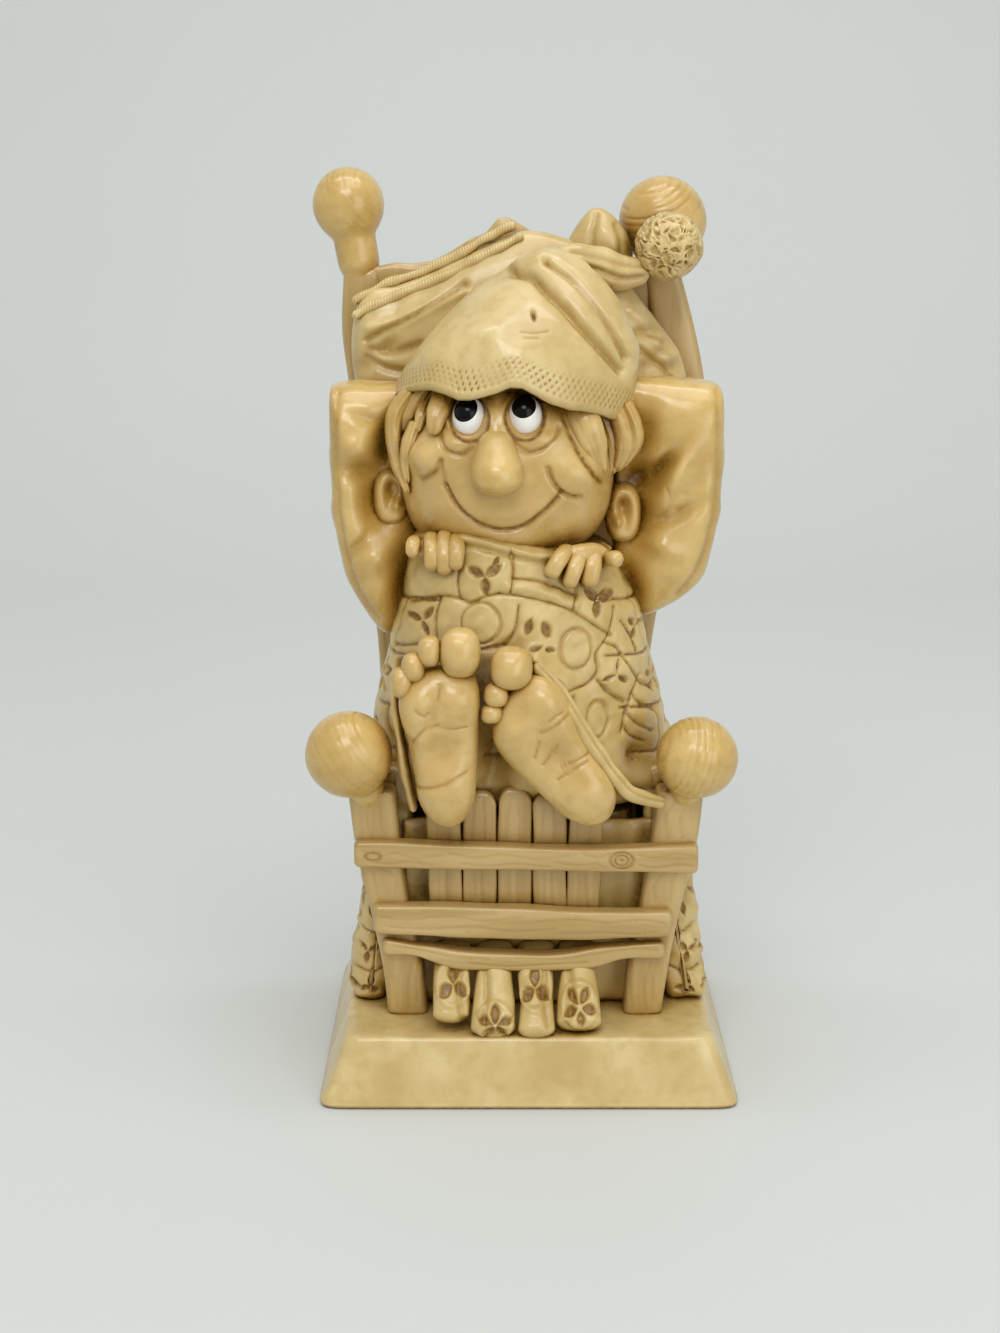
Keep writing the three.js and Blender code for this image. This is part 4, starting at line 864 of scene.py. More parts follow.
class SLEEPER_OT_feet(bpy.types.Operator):
    """Makes the two bare soles with their pads and creases, and the toes above them"""

    bl_idname = "sleeper.feet"
    bl_label = "Feet and toes"

    def execute(self, context):
        finish = resin(context, "skin_resin")
        left = [
            (-19.0, 61.9), (-18.8, 58.1), (-18.0, 55.1), (-17.0, 49.8), (-16.0, 45.5), (-14.3, 42.8),
            (-12.0, 41.8), (-9.8, 42.8), (-8.3, 45.5), (-7.7, 49.8), (-7.4, 55.1), (-7.3, 61.9),
            (-8.4, 64.9), (-11.5, 66.0), (-14.6, 66.0), (-17.5, 64.6),
        ]
        right = [
            (-5.4, 58.0), (-5.3, 55.2), (-3.6, 52.0), (0.0, 48.2), (3.6, 44.8), (6.4, 42.8), (9.4, 42.1),
            (11.8, 43.3), (12.8, 46.4), (11.4, 49.9), (9.0, 54.2), (6.6, 58.6), (4.4, 62.6), (1.6, 64.9),
            (-1.4, 64.4), (-4.2, 61.4),
        ]
        # Bumps and hollows of each sole: middle, half widths, height and turn
        pads = {
            "left": [
                ((-12.3, 46.6), (3.6, 4.2), 0.9, 0), ((-16.3, 60.6), (2.4, 3.0), 0.7, 0),
                ((-10.6, 61.6), (3.0, 3.2), 1.1, 0), ((-12.6, 54.0), (3.6, 2.8), -1.1, 20),
                ((-14.3, 59.6), (0.9, 2.6), -0.6, -8),
            ],
            "right": [
                ((9.0, 46.6), (3.6, 4.0), 0.9, 0), ((-2.4, 57.0), (2.2, 2.6), 0.8, -30),
                ((2.3, 61.4), (3.2, 3.0), 1.0, -30), ((4.6, 53.0), (3.2, 2.6), -0.9, -30),
            ],
        }
        creases = {
            "left": [
                [(-13.1, 64.0), (-13.2, 62.8), (-13.4, 61.9)],
                [(-17.3, 55.3), (-15.2, 57.6), (-13.3, 58.1)],
                [(-13.3, 58.1), (-11.2, 57.7), (-9.1, 57.8)],
                [(-16.5, 48.4), (-13.4, 49.0), (-9.1, 50.9)],
                [(-16.6, 60.4), (-15.4, 59.6), (-14.6, 59.9)],
            ],
            "right": [
                [(2.7, 58.8), (3.6, 59.5), (4.8, 60.1)], [(1.6, 57.1), (3.5, 58.0), (5.6, 59.5)],
                [(1.3, 55.8), (1.0, 54.4), (0.7, 53.1)], [(4.0, 55.0), (3.1, 53.6), (2.0, 52.1)],
                [(8.6, 53.6), (6.8, 52.7), (4.6, 51.8)], [(8.6, 52.6), (6.5, 51.5), (4.1, 49.9)],
            ],
        }
        soles = {"left": (left, (-13.0, -18.2, 53.6)), "right": (right, (4.2, -18.2, 53.6))}
        for side, (outline, middle) in soles.items():
            sole = pebble(outline, middle, (4.9, 4.0), 2.9, 120, 250)
            for place, half, height, turn in pads[side]:
                sole.swell(place, half, height, 0.25 if height < 0 else 0.0, "front", turn)
            for k, line in enumerate(creases[side]):
                sole.carve(line, 0.2 + 0.04 * (k % 2), 0.22, 0.55)
                sole.carve(line, 0.8, 0.07, 0.06)
            sole.roughen(0.1, 6, 70)
            add_piece(f"sole_{side}", [sole], finish, [f"foot_{side}"])

        # Toes: middle and half widths
        toes = {
            "toe_left_big": ((-10.1, -20.4, 68.4), (3.0, 3.0, 3.7)),
            "toe_left_2": ((-14.5, -20.4, 68.6), (1.75, 2.0, 2.3)),
            "toe_left_3": ((-16.9, -20.4, 66.2), (1.7, 1.9, 2.2)),
            "toe_left_4": ((-18.6, -20.3, 63.9), (1.6, 1.9, 2.3)),
            "toe_right_big": ((-2.7, -20.4, 66.1), (3.1, 3.0, 3.2)),
            "toe_right_2": ((-4.9, -20.6, 62.1), (1.85, 1.9, 1.85)),
            "toe_right_3": ((-5.5, -20.6, 59.4), (1.65, 1.8, 1.55)),
        }
        for k, (name, (middle, half)) in enumerate(toes.items()):
            outline = oval((middle[0], middle[2]), (half[0], half[2]), 2.4)
            toe = pebble(outline, middle, (half[1], half[1]), 2.2, 46, 72)
            x, z = middle[0], middle[2]
            toe.swell((x, z - 0.25 * half[2]), (0.5 * half[0], 0.4 * half[2]), 0.08 * half[0])
            toe.roughen(0.05, 3, 80 + k)
            add_piece(name, [toe], finish, [name])
        return {"FINISHED"}


class SLEEPER_OT_head(bpy.types.Operator):
    """Makes the smiling face, the big nose and the ears"""

    bl_idname = "sleeper.head"
    bl_label = "Head, nose and ears"

    def execute(self, context):
        finish = resin(context, "skin_resin")
        outline = oval((HEAD_MIDDLE[0], HEAD_MIDDLE[2]), (HEAD_HALF[0], HEAD_HALF[2]), HEAD_POWER)
        face = pebble(outline, HEAD_MIDDLE, (HEAD_HALF[1], HEAD_HALF[1]), HEAD_POWER, 160, 270)
        # Soft forms first: cheeks, eye hollows, pouches and chin
        face.swell((7.0, 92.9), (3.6, 3.0), 1.9)
        face.swell((-15.2, 95.4), (2.5, 2.4), 1.7)
        face.swell((-4.0, 82.4), (5.0, 2.6), 0.9)
        # The eye hollows are also darkened a little
        face.swell((-8.9, 101.5), (3.0, 3.2), -0.6, 0.12)
        face.swell((-0.7, 101.5), (3.0, 3.2), -0.6, 0.12)
        face.carve([(-4.9, 106.0), (-4.9, 102.0), (-4.85, 97.0)], 2.3, -1.7, 0.0)
        face.swell((1.5, 98.2), (2.6, 1.2), 0.8)
        face.swell((-10.9, 97.6), (2.4, 1.2), 0.7)
        face.swell((-4.0, 87.6), (7.0, 1.6), 0.5)
        face.face()
        # Rims round the eyes
        face.loop((-8.9, 101.6), (3.2, 3.25), 0.4, -0.45, 0.0)
        face.loop((-0.7, 101.6), (3.2, 3.25), 0.4, -0.45, 0.0)
        # A dark brown ring in the corner between the face and each eyeball
        face.loop((-8.8, 101.2), (2.8, 3.2), 0.35, 0.2, 0.95)
        face.loop((-0.7, 101.5), (2.8, 3.2), 0.35, 0.2, 0.95)
        smile = [
            (-12.3, 91.5), (-11.0, 89.1), (-9.3, 87.0), (-7.0, 85.5), (-3.9, 84.9), (-0.8, 85.5),
            (1.9, 87.5), (3.5, 89.1), (4.7, 90.5),
        ]
        face.carve(smile, 0.36, 0.8, 0.85)
        face.carve([(2.6, 94.2), (3.2, 92.4), (4.4, 90.8), (5.8, 89.9), (7.4, 89.6)], 0.34, 0.7, 0.7)
        face.carve([(-12.9, 95.0), (-12.6, 93.0), (-12.2, 91.3)], 0.3, 0.35, 0.45)
        face.carve([(-16.0, 92.0), (-14.8, 92.6), (-13.5, 93.7), (-12.9, 95.2)], 0.34, 0.6, 0.65)
        pouch = [(-2.4, 98.6), (-1.7, 97.3), (0.0, 96.4), (2.0, 96.9), (3.6, 98.2), (4.3, 100.0)]
        face.carve(pouch, 0.36, 0.45, 0.6)
        pouch = [(-13.0, 98.7), (-12.5, 97.1), (-11.2, 96.2), (-9.7, 96.1), (-8.4, 97.1)]
        face.carve(pouch, 0.36, 0.45, 0.6)
        # A dark brown band along the face beside the wide lock
        face.carve([(3.9, 104.3), (5.3, 100.2), (6.9, 96.7), (9.1, 93.4), (10.5, 91.6)], 0.5, 0.25, 0.85)
        face.roughen(0.1, 8, 90)
        add_piece("face", [face], finish, ["head"])

        nose = loft(
            [
                (90.2, -4.7, -14.1, 3.3, 3.5), (92.2, -4.75, -14.6, 3.65, 4.1),
                (94.4, -4.8, -14.5, 3.65, 4.05), (96.6, -4.85, -13.7, 3.1, 3.4),
                (98.6, -4.9, -12.8, 2.4, 2.7), (100.0, -4.9, -12.0, 1.8, 2.0),
                (101.2, -4.9, -11.4, 1.2, 1.3),
            ],
            90, 110, 2.1, dome=2.6,
        )
        nose.roughen(0.06, 5, 91)
        add_piece("nose_ball", [nose], resin(context, "amber_resin"), ["nose"])

        ears = {"left": (-20.7, 88.4, (2.9, 4.5)), "right": (14.3, 85.9, (2.8, 4.6))}
        for side, (x, z, half) in ears.items():
            head = 1 if side == "left" else -1
            plane = -1.0
            ear = pebble(oval((x, z), half, 2.4), (x, plane, z), (5.0, 3.4), 2.8, 70, 120)
            # The bowl inside the rim, its deep upper end, the flap in front of it and the lobe. The bowl
            # and its deep end are darkened with painted shade
            ear.sink(plane, (x + 0.5 * head, z + 0.2), (1.5, 2.7), 0.42, 0.45)
            ear.sink(plane, (x + 0.2 * head, z + 1.5), (0.9, 1.2), 0.3, 0.75)
            ear.sink(plane, (x + 2.4 * head, z + 1.4), (0.9, 3.4), 0.4, 0.3)
            ear.sink(plane, (x + 0.8 * head, z - 0.9), (0.7, 1.0), -0.4)
            ear.sink(plane, (x + 0.4 * head, z - 3.2), (1.5, 0.9), -0.1)
            ear.face()
            add_piece(f"ear_shell_{side}", [ear], finish, [f"ear_{side}"])
        return {"FINISHED"}


class SLEEPER_OT_eyes(bpy.types.Operator):
    """Makes the white eyeballs and the black pupils that look up"""

    bl_idname = "sleeper.eyes"
    bl_label = "Eyes"

    def execute(self, context):
        sizes = context.scene.sleeper_sizes
        colours = context.scene.sleeper_colours
        white = enamel_finish("gloss_enamel_white", tuple(colours.eye_white), linear("E8E6E0"), 1.5)
        black = enamel_finish("gloss_enamel_black", tuple(colours.eye_black), linear("030303"), 1.3)
        # Half widths of an eye: narrower than the radius across and a little taller
        half = mm(sizes.eye) * np.array((0.92, 1.0, 1.09))
        spread = np.arcsin(sizes.pupil / sizes.eye)
        looks = {
            "left": ((-8.8, -10.5, 101.2), (-0.28, -0.72, 0.62)),
            "right": ((-0.7, -10.9, 101.5), (-0.11, -0.7, 0.7)),
        }
        for side, (middle, gaze) in looks.items():
            middle = np.array(middle)
            outline = oval((middle[0], middle[2]), (half[0], half[2]))
            eye = pebble(outline, middle, (half[1], half[1]), 2.0, 60, 96)
            add_piece(f"eyeball_{side}", [eye], white, [f"eye_{side}"])
            # The pupil is a cap of a slightly larger ball round the gaze, closed by a flatter cap behind
            gaze = np.array(gaze) / np.linalg.norm(gaze)
            fore = np.linspace(0.02, spread, 26)
            aft = np.linspace(spread, 0.02, 8)
            lean = np.concatenate([fore, aft])
            bulge = 1.0 + 0.05 * np.cos(np.linspace(0, np.pi / 2, len(fore)))
            reach = np.concatenate([bulge, np.full_like(aft, 0.985)])
            spoke = spokes(gaze, (0, 0, 1), 72)
            cap = np.cos(lean)[:, None, None] * gaze + np.sin(lean)[:, None, None] * spoke
            pupil = Skin(middle + reach[:, None, None] * cap * half)
            add_piece(f"eye_pupil_{side}", [pupil], black, [f"pupil_{side}"])
        return {"FINISHED"}


class SLEEPER_OT_hair(bpy.types.Operator):
    """Makes the leaf-shaped locks that hang out from under the cap"""

    bl_idname = "sleeper.hair"
    bl_label = "Hair"

    def execute(self, context):
        # Each lock: its line in the front view, its half widths from root to tip, how far it stands out,
        # and how deep it is for its width
        locks = {
            "left": [
                (
                    [(-11.6, 106.6), (-12.6, 104.0), (-13.5, 101.2), (-14.1, 98.8)], (1.6, 1.8, 1.7, 1.0),
                    1.3, 0.8,
                ),
                (
                    [(-13.8, 105.4), (-15.1, 103.0), (-15.9, 101.0), (-16.5, 98.8)], (1.0, 1.1, 1.0, 0.5),
                    1.2, 1.0,
                ),
                (
                    [(-14.9, 105.8), (-16.8, 103.0), (-18.0, 100.8), (-18.6, 98.0)], (1.4, 1.6, 1.5, 0.7),
                    1.6, 1.2,
                ),
                (
                    [(-17.2, 105.0), (-19.6, 101.4), (-20.0, 97.4), (-19.3, 93.6), (-17.9, 89.6)],
                    (1.1, 1.4, 1.4, 1.2, 0.4), 1.2, 1.7,
                ),
                (
                    [(-16.6, 100.4), (-17.6, 97.2), (-18.2, 94.4), (-18.0, 91.2)], (1.0, 1.2, 1.0, 0.4),
                    1.2, 1.4,
                ),
            ],
            "right": [
                ([(5.4, 105.0), (7.8, 101.0), (9.2, 97.6), (10.9, 92.8)], (1.6, 2.5, 2.1, 0.7), 1.2, 0.6),
                (
                    [(9.6, 103.4), (11.4, 99.4), (12.3, 96.4), (12.4, 92.2)], (1.0, 1.3, 1.2, 0.6), 1.3,
                    1.2,
                ),
                (
                    [(11.9, 103.4), (13.6, 99.6), (14.1, 96.4), (12.9, 92.6)], (1.5, 1.9, 1.8, 0.7), 1.3,
                    1.4,
                ),
                (
                    [(14.0, 103.2), (15.6, 99.6), (15.6, 96.6), (13.8, 93.2)], (1.0, 1.2, 1.1, 0.5), 1.3,
                    2.0,
                ),
            ],
        }
        for side, rows in locks.items():
            sign = -1 if side == "left" else 1
            skins = []
            for flat, half, stand, deep in rows:
                flat = np.array(flat)
                # A lock lies on the face, and past the face's edge it hangs in front of the ear
                y = np.minimum(head_front(flat[:, 0], flat[:, 1]) - stand, -5.8)
                path = np.stack([flat[:, 0], y, flat[:, 1]], -1)
                lock = tube(path, half, 36, 64, deep, (0, 1, 0))
                # Strands: two grooves that run together at the tip
                wide = np.interp(np.arange(len(flat)), range(len(half)), half)
                spread = np.linspace(1.0, 0.2, len(flat)) * wide
                for across in (-0.4, 0.35):
                    strand = flat + np.stack([sign * across * spread, 0.4 * across * spread], -1)
                    lock.carve(strand, 0.14, 0.14, 0.28)
                lock.roughen(0.08, 4, 95)
                skins.append(lock)
            add_piece(
                f"locks_{side}", skins, resin(context, "skin_resin"), [f"hair_{side}"],
            )
        return {"FINISHED"}


class SLEEPER_OT_nightcap(bpy.types.Operator):
    """Makes the knitted nightcap with its wavy hem and folds, its tail and its pompom"""

    bl_idname = "sleeper.nightcap"
    bl_label = "Nightcap"

    def execute(self, context):
        sizes = context.scene.sleeper_sizes
        cream = resin(context, "cream_resin")
        # Height over the hem, then the ring's height, middle x and y, half widths and tilt
        rows = [
            (0.0, 98.7, -2.3, 1.5, 18.7, 17.3, 1.0), (4.3, 103.0, -1.3, 1.6, 18.2, 16.4, 0.92),
            (9.3, 108.0, -0.2, 2.0, 16.4, 14.6, 0.76), (14.3, 113.0, 0.9, 2.6, 14.1, 12.2, 0.55),
            (18.8, 117.5, 1.9, 3.2, 11.0, 9.4, 0.35), (22.3, 121.0, 2.5, 3.6, 7.2, 6.4, 0.2),
            (24.3, 123.0, 2.8, 3.8, 4.2, 3.8, 0.1), (25.6, 124.2, 3.4, 3.9, 0.7, 0.6, 0.0),
        ]
        fine = np.linspace(0.7, 6.0, 26)
        rise = np.concatenate([[1.2, 0.35, -0.1, -0.05, 0.28], fine, np.linspace(6.0, 25.5, 92)[1:]])
        # The roll under the hem, in five rings, keeps the first row's ring, and only its height changes
        roll = [0.9, 0.93, 0.955, 0.98, 0.995]
        rolled = len(roll)
        inside = np.concatenate([roll, np.ones(len(rise) - rolled)])
        table = eased(rise, rows)
        around = 680
        angle = np.linspace(0, 2 * np.pi, around, endpoint=False)
        table[:rolled] = eased(np.zeros(rolled), rows)
        table[:rolled, 0] += rise[:rolled]
        half_x = table[:, 3] * inside
        half_y = table[:, 4] * inside
        grid = np.zeros((len(rise), around, 3))
        off_x = half_x[:, None] * np.cos(angle)
        off_y = half_y[:, None] * np.sin(angle)
        # The hem's wave: how far it dips below the ring's plane, by x on the front half
        wave = np.array(
            [
                (-21.0, 0.0), (-17.5, -0.6), (-14.3, -1.1), (-12.2, -2.0), (-10.3, -3.0), (-8.6, -3.1),
                (-6.5, -2.6), (-4.8, -2.0), (-2.9, -1.0), (-1.2, -0.8), (0.7, -1.4), (2.8, -2.1),
                (5.7, -2.3), (8.6, -1.7), (11.8, -1.1), (15.1, 0.3), (16.4, 0.0),
            ],
        )
        x = table[:, 1, None] + off_x
        dip = np.interp(x, wave[:, 0], wave[:, 1]) * np.clip(-2.2 * np.sin(angle), 0, 1)
        dip = dip * np.exp(-((np.maximum(rise, 0) / 7.0) ** 2))[:, None]
        grid[:, :, 0] = x
        grid[:, :, 1] = table[:, 2, None] + off_y
        grid[:, :, 2] = table[:, 0, None] - table[:, 5, None] * (0.135 * off_x + 0.494 * off_y) + dip
        cap = Skin(grid)
        # Knitted band: staggered dents, the product of a wave along the hem and a wave up the band
        pitch = mm(sizes.knit_pitch)
        hem_radius = 18.0
        along = np.broadcast_to(angle * hem_radius, grid.shape[:2]).ravel()
        up = np.broadcast_to(rise[:, None], grid.shape[:2]).ravel()
        dots = np.cos(2 * np.pi * along / pitch) * np.cos(np.pi * (up - 1.3) / 0.8)
        band = np.clip((up - 0.8) / 0.3, 0, 1) * np.clip((4.6 - up) / 0.5, 0, 1)
        dots = np.append(np.maximum(dots, 0) ** 1.5 * band, [0, 0])
        worn = np.clip(0.75 + 0.6 * lumps(cap.points, 5, 99), 0.3, 1.2)
        cap.push(-0.33 * dots * worn, 0.75 * dots * worn)
        cap.face()
        # Folds that hang from the tip to the right: a broad rounded ridge above each sharp crease
        ridges = [
            [(-1.4, 122.7), (2.2, 122.0), (5.9, 119.1), (9.6, 115.1), (12.6, 111.2), (15.0, 108.0)],
            [(2.3, 124.0), (6.3, 122.8), (10.3, 119.4), (13.2, 115.4), (15.4, 110.9)],
        ]
        creases = [
            [
                (-3.2, 121.8), (0.0, 121.2), (2.2, 119.3), (4.7, 117.2), (7.3, 114.4), (10.3, 111.2),
                (13.6, 107.6),
            ],
            [(2.4, 123.4), (6.2, 121.2), (9.4, 118.0), (12.1, 113.8), (14.4, 109.4)],
        ]
        for line in ridges:
            cap.carve(line, 2.1, -1.1, 0)
        cap.face()
        for line in creases:
            cap.carve(line, 0.55, 1.2, 0.5)
            cap.carve(line, 1.5, 0.5, 0.12)
        cap.swell((-6.0, 113.0), (6.0, 4.5), 0.5)
        cap.carve([(-14.5, 109.6), (-10.0, 112.4), (-5.0, 113.4)], 1.6, -0.35, 0)
        # Wear: a nick in the front and two scratches under it
        cap.swell((0.5, 115.8), (0.28, 0.65), -0.5, 1.6, "front", 12)
        cap.carve([(-1.4, 113.6), (0.6, 113.4), (2.6, 113.6)], 0.16, 0.1, 0.4)
        cap.carve([(-0.8, 112.8), (1.2, 112.7)], 0.16, 0.1, 0.35)
        cap.roughen(0.12, 12, 100)
        add_piece(
            "nightcap", [cap], cream,
            ["nightcap_band", "nightcap_crown", "nightcap_fold_1", "nightcap_fold_2"],
        )

        tail = tube(
            [
                (3.4, 4.4, 122.6), (6.8, 5.6, 122.9), (10.6, 7.0, 122.0), (14.4, 8.2, 121.0),
                (18.6, 8.9, 121.4),
            ],
            (1.9, 2.7, 3.0, 2.7, 1.6), 64, 110, 0.85,
        )
        tail.carve([(7.0, 122.4), (10.6, 121.4), (14.2, 120.2), (17.4, 120.4)], 0.5, 0.6, 0.45)
        tail.carve([(6.6, 124.2), (10.5, 123.4), (14.4, 122.3), (17.4, 122.1)], 0.4, 0.4, 0.3)
        tail.roughen(0.12, 5, 101)
        add_piece("cap_tail", [tail], cream, ["nightcap_tail"])

        # Pompom: loops of yarn, the ridges where either of two wandering waves over the ball crosses zero
        radius = mm(sizes.pompom)
        middle = np.array((21.35, 8.9, 125.0))
        outline = oval((middle[0], middle[2]), (radius, radius))
        ball = pebble(outline, middle, (radius, radius), 2.0, 130, 230)
        yarn = mm(sizes.yarn)
        bent = ball.points + yarn * np.stack([lumps(ball.points, 4 * yarn, s) for s in (102, 103, 104)], -1)
        waves = [np.abs(lumps(bent, 4.2 * yarn, seed)) for seed in (105, 106)]
        ridge = np.clip(1 - np.minimum(*waves) / 0.4, 0, 1)
        ridge = ridge * (2 - ridge)
        ball.push(0.6 * ridge - 0.45 + 0.2 * lumps(ball.points, 3.4, 107), 0.3 * (1 - ridge) ** 2)
        add_piece("pompom", [ball], cream, ["nightcap_pompom"])
        return {"FINISHED"}


class SLEEPER_OT_sleeves(bpy.types.Operator):
    """Makes the two raised sleeves with their rims and folds"""

    bl_idname = "sleeper.sleeves"
    bl_label = "Sleeves"

    def execute(self, context):
        amber = resin(context, "amber_resin")
        # Each sleeve's outline in the front view
        outlines = {
            "left": [
                (-29.9, 103.8), (-29.2, 105.0), (-26.0, 105.5), (-23.0, 105.3), (-19.0, 104.8),
                (-17.2, 102.0), (-16.9, 97.0), (-16.8, 91.0), (-16.6, 84.0), (-16.4, 78.0), (-17.2, 72.0),
                (-19.2, 68.2), (-21.8, 67.0), (-24.3, 69.7), (-26.6, 73.6), (-28.2, 77.6), (-29.3, 83.0),
                (-29.7, 90.0), (-29.9, 97.0),
            ],
            "right": [
                (13.6, 105.6), (18.0, 106.1), (22.6, 105.9), (26.8, 105.5), (28.9, 104.2), (29.3, 98.0),
                (29.2, 91.4), (28.8, 85.3), (27.9, 80.2), (26.2, 75.8), (23.4, 72.7), (20.2, 70.6),
                (17.0, 69.8), (14.2, 71.6), (13.0, 78.0), (13.0, 84.0), (13.0, 91.0), (13.2, 98.0),
            ],
        }
        # Forms of the front: a fall towards the head, hollows by the hair and ear, and full folds between.
        # Each gives its middle, half widths, share of the depth, the painted shade that darkens it, and
        # turn.
        forms = {
            "left": [
                ((-16.6, 88.0), (4.6, 14.0), 0.55, 0.3, 0), ((-20.9, 95.8), (2.2, 4.0), 0.66, 1.0, -6),
                ((-24.4, 92.6), (3.2, 1.7), 0.3, 0.5, -6), ((-22.6, 88.2), (2.5, 4.6), 0.6, 0.75, 6),
                ((-24.8, 96.0), (3.0, 1.7), -0.1, 0.0, -12), ((-23.2, 100.2), (3.4, 1.0), 0.08, 0.2, -18),
                ((-28.9, 90.0), (0.7, 15.0), -0.06, 0.0, 0), ((-25.8, 81.2), (2.8, 0.9), 0.12, 0.35, 42),
                ((-22.2, 80.2), (3.4, 1.9), -0.16, 0.0, 40), ((-18.4, 75.6), (1.9, 5.0), 0.45, 1.0, -8),
                ((-22.6, 74.0), (2.6, 4.4), -0.08, 0.0, -20),
            ],
            "right": [
                ((13.0, 90.0), (5.0, 14.0), 0.55, 0.3, 0), ((16.4, 91.2), (2.8, 2.4), 0.66, 1.0, 20),
                ((19.4, 92.8), (3.2, 1.1), 0.42, 0.8, 50), ((21.4, 92.0), (1.2, 4.4), -0.14, 0.0, -28),
                ((24.4, 90.0), (1.6, 4.6), 0.08, 0.15, -24), ((16.2, 86.0), (2.3, 4.6), 0.6, 0.8, 0),
                ((20.8, 85.8), (4.2, 1.2), 0.22, 0.4, 24), ((18.6, 81.8), (3.4, 1.5), -0.14, 0.0, -22),
                ((17.0, 98.6), (2.4, 4.0), 0.3, 0.35, 0), ((28.2, 90.0), (0.7, 15.0), -0.06, 0.0, 0),
                ((15.2, 75.0), (2.0, 4.4), 0.45, 0.95, 12), ((21.0, 77.6), (4.0, 2.6), -0.08, 0.0, 30),
            ],
        }
        # A groove sets off the rim along each sleeve's outer edge
        rims = {
            "left": [
                (-28.5, 104.2), (-28.7, 97), (-28.5, 90), (-28.0, 83), (-26.9, 77.8), (-25.0, 73.6),
                (-22.8, 70.2),
            ],
            "right": [
                (27.8, 104.4), (28.1, 98), (28.0, 91.4), (27.5, 85.3), (26.5, 80.4), (24.8, 76.8),
                (22.4, 74.0),
            ],
        }
        middles = {"left": (-23.4, 0.5, 87.0), "right": (21.4, 0.5, 88.0)}
        for side, outline in outlines.items():
            middle = middles[side]
            sleeve = pebble(outline, middle, (8.2, 8.4), 3.4, 150, 250)
            for place, half, share, stain, turn in forms[side]:
                sleeve.sink(middle[1], place, half, share, stain, turn)
            sleeve.face()
            sleeve.carve(rims[side], 0.55, 0.4, 0.35)
            for z, lean in ((95.0, 1.6), (85.5, -1.4), (77.5, 1.2)):
                sleeve.swell((0.5, z), (7.0, 2.4), 0.35, 0.0, side, 14 * lean)
                sleeve.swell((2.5, z - 4.4), (5.0, 1.2), -0.5, 0.25, side, 14 * lean)
            sleeve.roughen(0.14, 13, 110)
            add_piece(f"arm_{side}", [sleeve], amber, [f"sleeve_{side}"])
        return {"FINISHED"}


def finger_depth(x, radius):
    """Where a fingertip lies: 1.4 radii in front of the quilt's upper edge, which is the arc
    deep * (1 - |x|^p)^(1 / p) with x in its half widths, but within the hand's own depth."""
    middle, half, deep = QUILT_EDGE
    aside = min(abs((x - middle) / half), 1.0)
    front = -deep * (1 - aside**QUILT_POWER) ** (1 / QUILT_POWER)
    return float(np.clip(front - 1.4 * radius, -15.7, -13.2))


class SLEEPER_OT_hands(bpy.types.Operator):
    """Makes the hands that hold the quilt's edge, finger by finger"""

    bl_idname = "sleeper.hands"
    bl_label = "Hands"

    def execute(self, context):
        # Each finger: the top of its bend and its tip in the front view, and its radius
        fingers = {
            "left": [
                ((-16.9, 83.8), (-17.3, 80.9), 1.0), ((-14.5, 84.3), (-14.3, 79.0), 1.2),
                ((-12.5, 84.6), (-12.4, 78.3), 1.25), ((-10.6, 84.3), (-10.8, 79.2), 1.15),
            ],
            "right": [
                ((5.3, 82.8), (2.9, 78.3), 1.2), ((7.5, 82.4), (5.7, 76.6), 1.25),
                ((9.8, 82.4), (8.6, 76.6), 1.35), ((11.6, 81.4), (13.4, 79.9), 1.15),
            ],
        }
        # How far the back of each hand lies below the bends, in radii of the finger
        drops = {"left": 1.9, "right": 0.9}
        for side, rows in fingers.items():
            skins = []
            knuckles = []
            for k, (top, tip, radius) in enumerate(rows):
                y = finger_depth(tip[0], radius)
                path = [
                    (top[0], y + 5.3, top[1] - 1.5 * radius), (top[0], y + 2.8, top[1] - radius),
                    (0.55 * top[0] + 0.45 * tip[0], y + 0.5, 0.55 * top[1] + 0.45 * tip[1]),
                    (tip[0], y, tip[1]),
                ]
                widths = (radius * 0.95, radius, radius * 1.05, radius * 0.95)
                finger = tube(path, widths, 36, 56, 1.0, (1, 0, 0), 2.5)
                finger.roughen(0.12, 4, 115 + k)
                skins.append(finger)
                knuckles.append((top[0], y + 2.2, top[1] - drops[side] * radius))
            skins.append(tube(knuckles, (1.0, 1.6, 1.6, 1.1), 36, 48, 1.0))
            add_piece(
                f"fingers_{side}", skins, resin(context, "skin_resin"), [f"hand_{side}"],
            )
        return {"FINISHED"}


